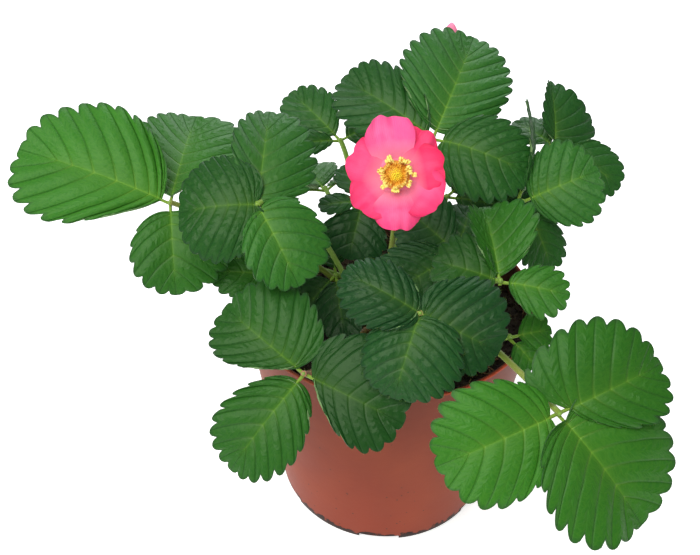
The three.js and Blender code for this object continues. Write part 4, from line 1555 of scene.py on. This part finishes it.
# %% Crown cutter
CROWN_OUTLINE = [
    (0, 72),
    (7.5, 72),
    (11, 77),
    (13.5, 84),
    (14.7, 90),
    (15, 93),
    (14.6, 97),
    (13.6, 100.5),
    (11, 103),
    (7.5, 104.8),
    (3.5, 105.8),
    (0, 106),
]
SCALES = 22
SCALE_HEIGHT = 11.0
SCALE_THICKNESS = 0.35 * MM
SPIRAL_RADIUS = 14.6
SPIRAL_CLOSING = 7.0
SPIRAL_FOOT = 92.0
SPIRAL_RISE = 9.5
GOLDEN_ANGLE = 137.5


def unit_grid(cut, rows, columns):
    """A grid with its t from 0 to 1 along it and its u from -1 to 1 across."""
    inputs = {"Size X": 1.0, "Size Y": 1.0, "Vertices X": columns + 1, "Vertices Y": rows + 1}
    grid = cut.node("GeometryNodeMeshGrid", inputs)
    side, t, _ = cut.split(Link(cut, grid.outputs["UV Map"]))
    return Link(cut, grid.outputs["Mesh"]), t, 1.0 - 2.0 * side


def scale_sheet(cut):
    """One scale: broad below, drawn to a point, hollow towards the crown."""
    grid, t, u = unit_grid(cut, 10, 6)
    half = 4.2 * MM * sine(math.pi * (0.25 + 0.72 * t))
    bent = u * u * 1.6 * MM * (1.0 - 0.4 * t)
    place = cut.vector(-bent + sine(t * 2.2) * 0.8 * MM, u * half, t * SCALE_HEIGHT * MM)
    return thicken(cut, cut.place(grid, place), SCALE_THICKNESS)


def crown_cutter():
    cut = Cutter("crown", {"Scales": SCALES})
    body = roughened(cut, turned(cut, CROWN_OUTLINE, 72), 1.0 * MM, 190.0)
    number = cut.step("GeometryNodeInputIndex")
    share = number / float(SCALES)
    angle = number * math.radians(GOLDEN_ANGLE)
    radius = (SPIRAL_RADIUS - SPIRAL_CLOSING * share * share) * MM
    height = (SPIRAL_FOOT + SPIRAL_RISE * share) * MM
    spot = cut.vector(radius * cosine(angle), radius * sine(angle), height)
    feet = cut.place(cut.dots(cut.size("Scales")), spot)
    scales = cut.copies(feet, scale_sheet(cut), cut.turn(0.0, 0.12 - 0.3 * share, angle))
    cut.serve(cut.join(body, roughened(cut, scales, 0.8 * MM, 120.0)))
    return cut


# %% [markdown]
# The crown is dry brown fibre that runs upwards, and it turns green at the top, where the young stalks
# begin. Noise that is stretched along Z gives the fibre without a single strand of mesh.

# %% Crown
CROWN_DARK = "3f3020"
CROWN_PALE = "84693f"
CROWN_GREEN = "7c8a48"


def paint_crown():
    paint = Paint("crown_brown")
    x, y, z = paint.split(paint.spot())
    fibre = paint.noise(500.0, 3.0, paint.vector(x, y, z * 0.15))
    base = paint.mix(fibre, CROWN_DARK, CROWN_PALE)
    green = paint.mix(ramp(z, 97 * MM, 106 * MM) * 0.5, base, CROWN_GREEN)
    return paint.finish(green, 0.85, fibre * (0.5 * MM))


crown_brown = paint_crown()
finished("crown_stem", [grow(crown_cutter(), crown_brown)], ["crown"])

# %% [markdown]
# The flower looks at the camera and a little up. Its petals are thin sheets, broad and rounded, that
# lie over each other like tiles: each has its own height. A petal swells from a narrow claw, cups a
# little, and ripples more and more towards its edge. The table gives each petal's angle, height and
# length, and how deep its pink is, which is partly its own colour and partly painted shade.

# %% Petal cutter
FLOWER_CENTRE = (-1, -28, 188)
FLOWER_FACE = (-94, 32)
PETALS = [
    (101, 3.6, 19.5, 0.0),
    (57, 1.0, 17.5, 0.8),
    (14, 2.6, 16.2, 1.0),
    (-30, 1.4, 17.5, 0.6),
    (-84, 3.4, 18.5, 0.45),
    (-137, 0.6, 16.8, 0.7),
    (158, 1.2, 16.6, 0.6),
]
PETAL_SIZES = {"Length": 0.018, "Width": 0.018, "Lift": 0.001, "Number": 0.0, "Deep": 0.5}
CLAW = 2 * MM
BULGE = 1.5 * MM
CURL = 0.035
RUFFLE = 1.0 * MM
RIPPLE = 0.3 * MM
FINE_RIPPLE = 0.12 * MM
PETAL_THICKNESS = 0.35 * MM


def petal_cutter():
    cut = Cutter("petal", PETAL_SIZES)
    grid, t, u = unit_grid(cut, 30, 28)
    number = cut.size("Number")
    length = cut.size("Length")
    spread = sine(math.pi * (0.08 + 0.66 * t)) ** 0.8
    rise = ramp(t, 0.2, 1.0)
    y = u * cut.size("Width") / 2.0 * spread
    nick = 1.0 - 0.05 * exponential(-20.0 * (u - 0.2 * sine(number * 1.7)) ** 2.0) * t**6.0
    rim = 1.0 + 0.025 * sine(u * 4.0 + number * 3.0) * t**3.0
    x = CLAW + length * t * (1.0 - 0.16 * u * u * t) * nick * rim
    wave = RUFFLE * sine(3.2 * u + 2.1 * number) * t * t
    ripple = RIPPLE * sine(9.0 * u + 4.0 * number) * t**3.0 + FINE_RIPPLE * cosine(u * 16.0) * rise
    cup = BULGE * sine(math.pi * 0.8 * rise) + y * y / MM * CURL * sine(number * 2.4 + 1.0) * rise
    z = cut.size("Lift") * (0.12 + 0.88 * rise) + cup + wave + ripple
    sheet = cut.place(grid, cut.vector(x, y, z))
    sheet = cut.keep(sheet, "blade", cut.vector(t, u, 0.0), "FLOAT2", "CORNER")
    sheet = cut.keep(sheet, "deep", cut.size("Deep"))
    cut.serve(thicken(cut, sheet, PETAL_THICKNESS))
    return cut


# %% [markdown]
# Petals are strong pink with darker veins that fan out from the claw, paler round the centre and redder
# at their edges, a painted shade where they overlap; a painted sheen lightens the middle of each. The
# upper one is the lightest, as it lies on top in the light, and the table's last number deepens the
# others, partly as their own colour and partly as painted shade. Some light passes through a petal, so
# the paint has a little of it under the surface.

# %% Petal paint
PETAL_LIGHT = "f85a9a"
PETAL_DEEP_AND_SHADE = "ec1656"
PETAL_VEIN_AND_SHADE_RED = "c00c42"
PETAL_PALE = "ffa0be"
PETAL_SHINE = "ff86ba"


def paint_petals():
    paint = Paint("petal_pink", Specular_IOR_Level=0.25, Subsurface_Weight=0.1)
    paint.shader.inputs["Subsurface Radius"].default_value = (0.002, 0.0008, 0.001)
    t, u, _ = paint.split(paint.step("ShaderNodeUVMap", uv_map="blade"))
    veins = abs(sine(u * 34.0 / (0.6 + 0.5 * t)))
    vein = 1.0 - ramp(veins, 0.0, 0.4)
    cloud = paint.noise(120.0, 3.0)
    deep = paint.value("deep")
    # Partly painted light: `deep` darkens the lower petals, and the upper one stays the lightest.
    base = paint.mix(deep * 0.95 + cloud * 0.3, PETAL_LIGHT, PETAL_DEEP_AND_SHADE)
    # Painted sheen: the middle of each petal is lighter, less so on the deep ones.
    sheen_patch = (1.0 - u * u) * exponential((t - 0.6) * (t - 0.6) * -8.0)
    sheen_patch = sheen_patch * (1.0 - deep * 0.7) * ramp(cloud, 0.3, 0.6)
    shine = paint.mix(sheen_patch * 0.7, base, PETAL_SHINE)
    # Painted shade: the edges turn darker red, as where the petals overlap.
    edge = paint.mix(ramp(abs(u), 0.7, 1.0) ** 2.0 * (0.15 + 0.4 * deep), shine, PETAL_VEIN_AND_SHADE_RED)
    veined = paint.mix(vein * 0.06, edge, PETAL_VEIN_AND_SHADE_RED)
    pale = paint.mix((1.0 - ramp(t, 0.25, 0.55)) * 0.65, veined, PETAL_PALE)
    return paint.finish(pale, 0.5, vein * (-0.05 * MM) + paint.noise(700.0) * (0.04 * MM))


petal_pink = paint_petals()

# %% [markdown]
# The petals stand in a ring round the flower's own axis. Each is grown lying along X and then turned by
# its angle in the table, which is easier than to work it out where it stands.


# %% Petals
def flower_frame(centre, face):
    """The flower's own frame: X to its right, Y up its face, Z out to the front."""
    front = heading(*face)
    right = Vector((0, 0, 1)).cross(front)
    return frame_of(at(*centre), right, front)


flower_place = flower_frame(FLOWER_CENTRE, FLOWER_FACE)


def put(mesh, place, degrees=0.0):
    """Turns a mesh about its own Z and moves it to its place."""
    mesh.transform(place @ Matrix.Rotation(math.radians(degrees), 4, "Z"))
    return mesh


def make_petals():
    petal = petal_cutter()
    meshes = []
    for number, (angle, lift, length, deep) in enumerate(PETALS):
        sizes = {"length": length * MM, "lift": lift * MM, "number": float(number), "deep": deep}
        meshes.append(put(grow(petal, petal_pink, **sizes), flower_place, angle))
    finished("petals", meshes, ["flower_petals"])


make_petals()

# %% [markdown]
# The middle of the flower is a dome, close set with small pistils. They could be strewn on it, but real
# ones stand on spirals, so each turns by the golden angle from the last, and leans away from the dome.

# %% Pistils
DOME_HEIGHT = 4.9
DOME_RADIUS = 3.9
DOME_FALL = 0.14
DOME_OUTLINE = [
    (0, 0.4),
    (4.2, 0.4),
    (5.2, 1.2),
    (5.2, 1.9),
    (4.6, 2.3),
    (4.0, 2.9),
    (3.5, 3.9),
    (2.4, 4.5),
    (1.2, 4.8),
    (0, DOME_HEIGHT),
]
PISTIL_SHAPE = {
    "Vertices": 6,
    "Side Segments": 2,
    "Radius Top": 0.16 * MM,
    "Radius Bottom": 0.24 * MM,
    "Depth": 0.8 * MM,
}


def spiral_on_dome(cut):
    """Points on a dome, evenly spread by the golden angle, with turns that face away from it."""
    count = cut.size("Pistils")
    number = cut.step("GeometryNodeInputIndex")
    share = (number + 0.5) / count
    radius = share**0.5 * DOME_RADIUS
    angle = number * math.radians(GOLDEN_ANGLE)
    height = DOME_HEIGHT - radius * radius * DOME_FALL
    place = cut.vector(radius * cosine(angle) * MM, radius * sine(angle) * MM, height * MM)
    lean = cut.vector(cosine(angle) * radius * 0.25, sine(angle) * radius * 0.25, 1.0)
    turn = cut.step("FunctionNodeAlignRotationToVector", {"Vector": lean}, axis="Z")
    return cut.place(cut.dots(count), place), turn


def pistils(cut):
    points, turn = spiral_on_dome(cut)
    shape = cut.step("GeometryNodeMeshCone", PISTIL_SHAPE)
    return cut.copies(points, shape, turn, cut.luck(0.8, 1.3))


# %% [markdown]
# Round the dome stand the stamens: a thin thread each, with an anther of two lobes at its end. One is
# built from a rod and two squeezed balls, with few faces, because there are 48 of them.

# %% Stamen
THREAD_END = (1.1 * MM, 0, 2.6 * MM)
THREAD_RADIUS = 0.22 * MM
LOBE_SIZE = (0.65 * MM, 0.46 * MM, 0.95 * MM)
LOBE_TURN = (0.0, 0.9, 0.0)


def stamen(cut):
    """A thread that leans out, with two lobes at its end."""
    line = cut.step("GeometryNodeCurvePrimitiveLine", {"Start": (0, 0, 0), "End": THREAD_END})
    line = cut.step("GeometryNodeResampleCurve", {"Curve": line, "Count": 4})
    thread = cut.keep(cut.rod(line, cut.ring(6), THREAD_RADIUS), "part", 1.0)
    lobes = []
    for side in (-1, 1):
        inputs = {"Geometry": lump(cut, 2, 1.0), "Scale": LOBE_SIZE, "Rotation": LOBE_TURN}
        inputs["Translation"] = (1.15 * MM, side * 0.36 * MM, 2.8 * MM)
        lobes.append(cut.step("GeometryNodeTransform", inputs))
    anther = cut.keep(cut.join(*lobes), "part", 2.0)
    return cut.join(thread, anther)


# %% [markdown]
# A ring of equal stamens would look like a machine part. Here each has its own distance, lean and size
# from a random number, and the ring is drawn together in seven loose clumps.

# %% Flower centre cutter
CENTRE_SIZES = {"Pistils": 170, "Stamens": 48, "Ring": 3.7 * MM}
CLUMPS = 7
CLUMPING = 0.11
STAMEN_SPREAD = 2.0 * MM
STAMEN_FOOT = 1.6 * MM


def centre_cutter():
    cut = Cutter("flower centre", CENTRE_SIZES)
    dome = cut.keep(turned(cut, DOME_OUTLINE, 48), "part", 0.0)
    tips = cut.keep(pistils(cut), "part", 3.0)
    number = cut.step("GeometryNodeInputIndex")
    count = cut.size("Stamens")
    luck = random_from(cut, number + 0.5)
    second = random_from(cut, number + 70.5)
    angle = math.tau * (number + 0.5 * luck) / count
    angle = angle + CLUMPING * sine(angle * float(CLUMPS) + 1.0)
    radius = cut.size("Ring") + (second - 0.5) * STAMEN_SPREAD
    spot = cut.vector(radius * cosine(angle), radius * sine(angle), STAMEN_FOOT)
    feet = cut.place(cut.dots(count), spot)
    turn = cut.turn((luck - 0.5) * 0.6, (second - 0.6) * 0.5, angle)
    cut.serve(cut.join(dome, tips, cut.copies(feet, stamen(cut), turn, 0.85 + 0.3 * luck)))
    return cut


# %% [markdown]
# `part` tells the paint what it is on: 0 for the dome, 1 for the threads, 2 for the anthers and 3 for
# the pistils. The top of the dome is the brightest yellow and the ring round it orange, so the paint
# measures how far it is from the top. Anthers that lie further out are paler, as if fresh with pollen.

# %% Flower centre
DOME_YELLOW = "d8982a"
THREAD_CREAM = "e9dc8c"
ANTHER_GOLD = "dc9a24"
ANTHER_FRESH = "f2e47c"
ANTHER_OLD = "cf8a22"
PISTIL_TOP = "fff03a"
PISTIL_GOLD = "f6b224"
PISTIL_ORANGE = "e08e18"


def paint_centre():
    paint = Paint("flower_yellow", Subsurface_Weight=0.05)
    paint.shader.inputs["Subsurface Radius"].default_value = (0.001, 0.0006, 0.0002)
    part = paint.value("part")
    patches = paint.noise(900.0, 2.0)
    x, y, z = paint.split(paint.spot())
    top = at(*FLOWER_CENTRE) + heading(*FLOWER_FACE) * DOME_HEIGHT * MM
    from_top = distance(distance(x - top.x, y - top.y), z - top.z)
    thread = paint.mix(ramp(part, 0.2, 0.8), DOME_YELLOW, THREAD_CREAM)
    fresh = paint.mix(ramp(from_top, 3.6 * MM, 5.2 * MM), ANTHER_GOLD, ANTHER_FRESH)
    anther_tone = paint.mix(ramp(patches, 0.54, 0.64), fresh, ANTHER_OLD)
    anther = paint.mix(ramp(part, 1.2, 1.8), thread, anther_tone)
    ring = paint.mix(ramp(patches, 0.35, 0.65), PISTIL_GOLD, PISTIL_ORANGE)
    tip = paint.mix(ramp(from_top, 1.4 * MM, 3.0 * MM), PISTIL_TOP, ring)
    base = paint.mix(ramp(part, 2.2, 2.8), anther, tip)
    return paint.finish(base, 0.6, patches * (0.1 * MM))


flower_yellow = paint_centre()
centre_mesh = put(grow(centre_cutter(), flower_yellow), flower_place)
finished("flower_middle", [centre_mesh], ["flower_centre"])

# %% [markdown]
# Behind the petals is the calyx: a cup with five large and five smaller pointed sepals, green and
# hairy. The bud has five sepals of its own, closed round a pink tip. All are one shape, so one cutter
# grows them, and its dial `hug` bends a sepal from flat to clasping.

# %% Sepal cutter
SEPAL_SIZES = {"Length": 0.012, "Width": 0.005, "Droop": 0.002, "Hug": 0.0, "Hairs": 500000.0}
SEPAL_THICKNESS = 0.4 * MM
SEPAL_HAIR = 0.8 * MM
SEPAL_HAIR_WIDTH = 0.03 * MM
CALYX_OUTLINE = [
    (0, -5.2),
    (1.6, -5.2),
    (2.2, -5.0),
    (3.2, -3.9),
    (4.1, -2.8),
    (4.3, -2.0),
    (4.2, -1.3),
    (0, -1.3),
]


def sepal_cutter():
    cut = Cutter("sepal", SEPAL_SIZES)
    grid, t, u = unit_grid(cut, 16, 8)
    length = cut.size("Length")
    half = cut.size("Width") / 2.0 * (1.0 - t * t * 0.93) * (0.8 + 0.5 * sine(t * math.pi))
    hug = cut.size("Hug")
    angle = hug * t
    out = length * t * (1.0 - hug * 0.25)
    rise = 0.5 * MM * u * u * (1.0 - t) + 0.12 * MM * abs(u)
    x = 1.0 * MM + out * cosine(angle)
    z = out * sine(angle) + rise - cut.size("Droop") * t * t
    sheet = thicken(cut, cut.place(grid, cut.vector(x, u * half, z)), SEPAL_THICKNESS)
    points, upright = cut.scattered(sheet, cut.size("Hairs"))
    cut.serve(cut.join(sheet, hairs_on(cut, points, True, upright, SEPAL_HAIR, SEPAL_HAIR_WIDTH)))
    return cut


def cup_cutter(name, outline):
    cut = Cutter(name, {})
    cut.serve(sharp_by_angle(cut, turned(cut, outline, 40), 50))
    return cut


# %% [markdown]
# Sepals are a soft green in two shades, with pale hairs. Large and small ones stand in turn round the
# cup of the calyx, just behind the petals, so that the small ones show in the gaps.

# %% Calyx
SEPAL_GREEN = "587f36"
SEPAL_LIGHT = "7ba34a"
SEPAL_HAIR_GREEN = "c5d59a"
SEPALS = 10
SEPAL_LENGTH = 12 * MM
SEPAL_WIDTH = 4.6 * MM
SEPAL_DROOP = 2.0 * MM
SMALL_SEPAL = 0.8
SEPAL_PLACE = at(0, 0, -1.9)


def paint_sepals():
    paint = Paint("sepal_green", Sheen_Weight=0.2)
    patches = paint.noise(150.0)
    green = paint.mix(ramp(patches, 0.3, 0.7), SEPAL_GREEN, SEPAL_LIGHT)
    haired = paint.mix(paint.value("rib"), green, SEPAL_HAIR_GREEN)
    return paint.finish(haired, 0.6, paint.noise(600.0) * (0.1 * MM))


sepal_green = paint_sepals()
sepal = sepal_cutter()


def make_calyx():
    meshes = [put(grow(cup_cutter("calyx cup", CALYX_OUTLINE), sepal_green), flower_place)]
    place = flower_place @ Matrix.Translation(SEPAL_PLACE)
    for number in range(SEPALS):
        share = SMALL_SEPAL if number % 2 else 1.0
        sizes = {"length": SEPAL_LENGTH, "width": SEPAL_WIDTH, "droop": SEPAL_DROOP}
        mesh = grow(sepal, sepal_green, **{label: size * share for label, size in sizes.items()})
        meshes.append(put(mesh, place, number * 360 / SEPALS + 12))
    finished("calyx", meshes, ["flower_calyx"])


make_calyx()

# %% [markdown]
# The bud stands behind the top leaf, on a stalk of its own that rises from the back of the crown. Its
# pink tip is turned from an outline, like the pot, and five sepals clasp it. Both flower stalks come
# from the cutter of the leaf stalks, and end at the back of what they carry.

# %% Bud and flower stalks
BUD_CENTRE = (27, 66, 203)
BUD_FACE = (80, 60)
BUD_OUTLINE = [
    (0, -3.6),
    (1.6, -3.5),
    (2.7, -2.7),
    (3.4, -1.2),
    (3.55, 0.2),
    (3.1, 2.4),
    (2.2, 4.3),
    (1.2, 5.6),
    (0.4, 6.2),
    (0, 6.3),
]
BUD_SEPALS = 5
BUD_SEPAL_PLACE = at(0, 0, -3.2)
BUD_SEPAL = {"length": 8 * MM, "width": SEPAL_WIDTH, "droop": 0.0, "hug": 1.5}
FLOWER_STALK = {"radius": 1.1 * MM, "sheath": 0.4}

bud_place = flower_frame(BUD_CENTRE, BUD_FACE)


def make_bud():
    tip = put(grow(cup_cutter("bud tip", BUD_OUTLINE), petal_pink), bud_place)
    finished("bud_tip", [tip], [])
    low = bud_place @ Matrix.Translation(BUD_SEPAL_PLACE)
    meshes = []
    for number in range(BUD_SEPALS):
        mesh = grow(sepal, sepal_green, **BUD_SEPAL)
        meshes.append(put(mesh, low, number * 360 / BUD_SEPALS + 20))
    finished("bud_sepals", meshes, ["bud"])


def make_flower_stalks():
    back = flower_place @ at(0, 0, -4.7)
    sizes = stalk_sizes((7, 245), back, heading(*FLOWER_FACE), (4, 2, 0))
    mesh = grow(stalk, petiole_green, **sizes, **FLOWER_STALK, blush=0.3)
    finished("flower_stem", [mesh], ["flower_stalk"])
    back = bud_place @ at(0, 0, -2.9)
    sizes = stalk_sizes((6, 95), back, heading(*BUD_FACE), (0, 8, 0))
    mesh = grow(stalk, petiole_green, **sizes, **FLOWER_STALK, blush=0.4)
    finished("bud_stem", [mesh], ["bud_stalk"])


make_bud()
make_flower_stalks()
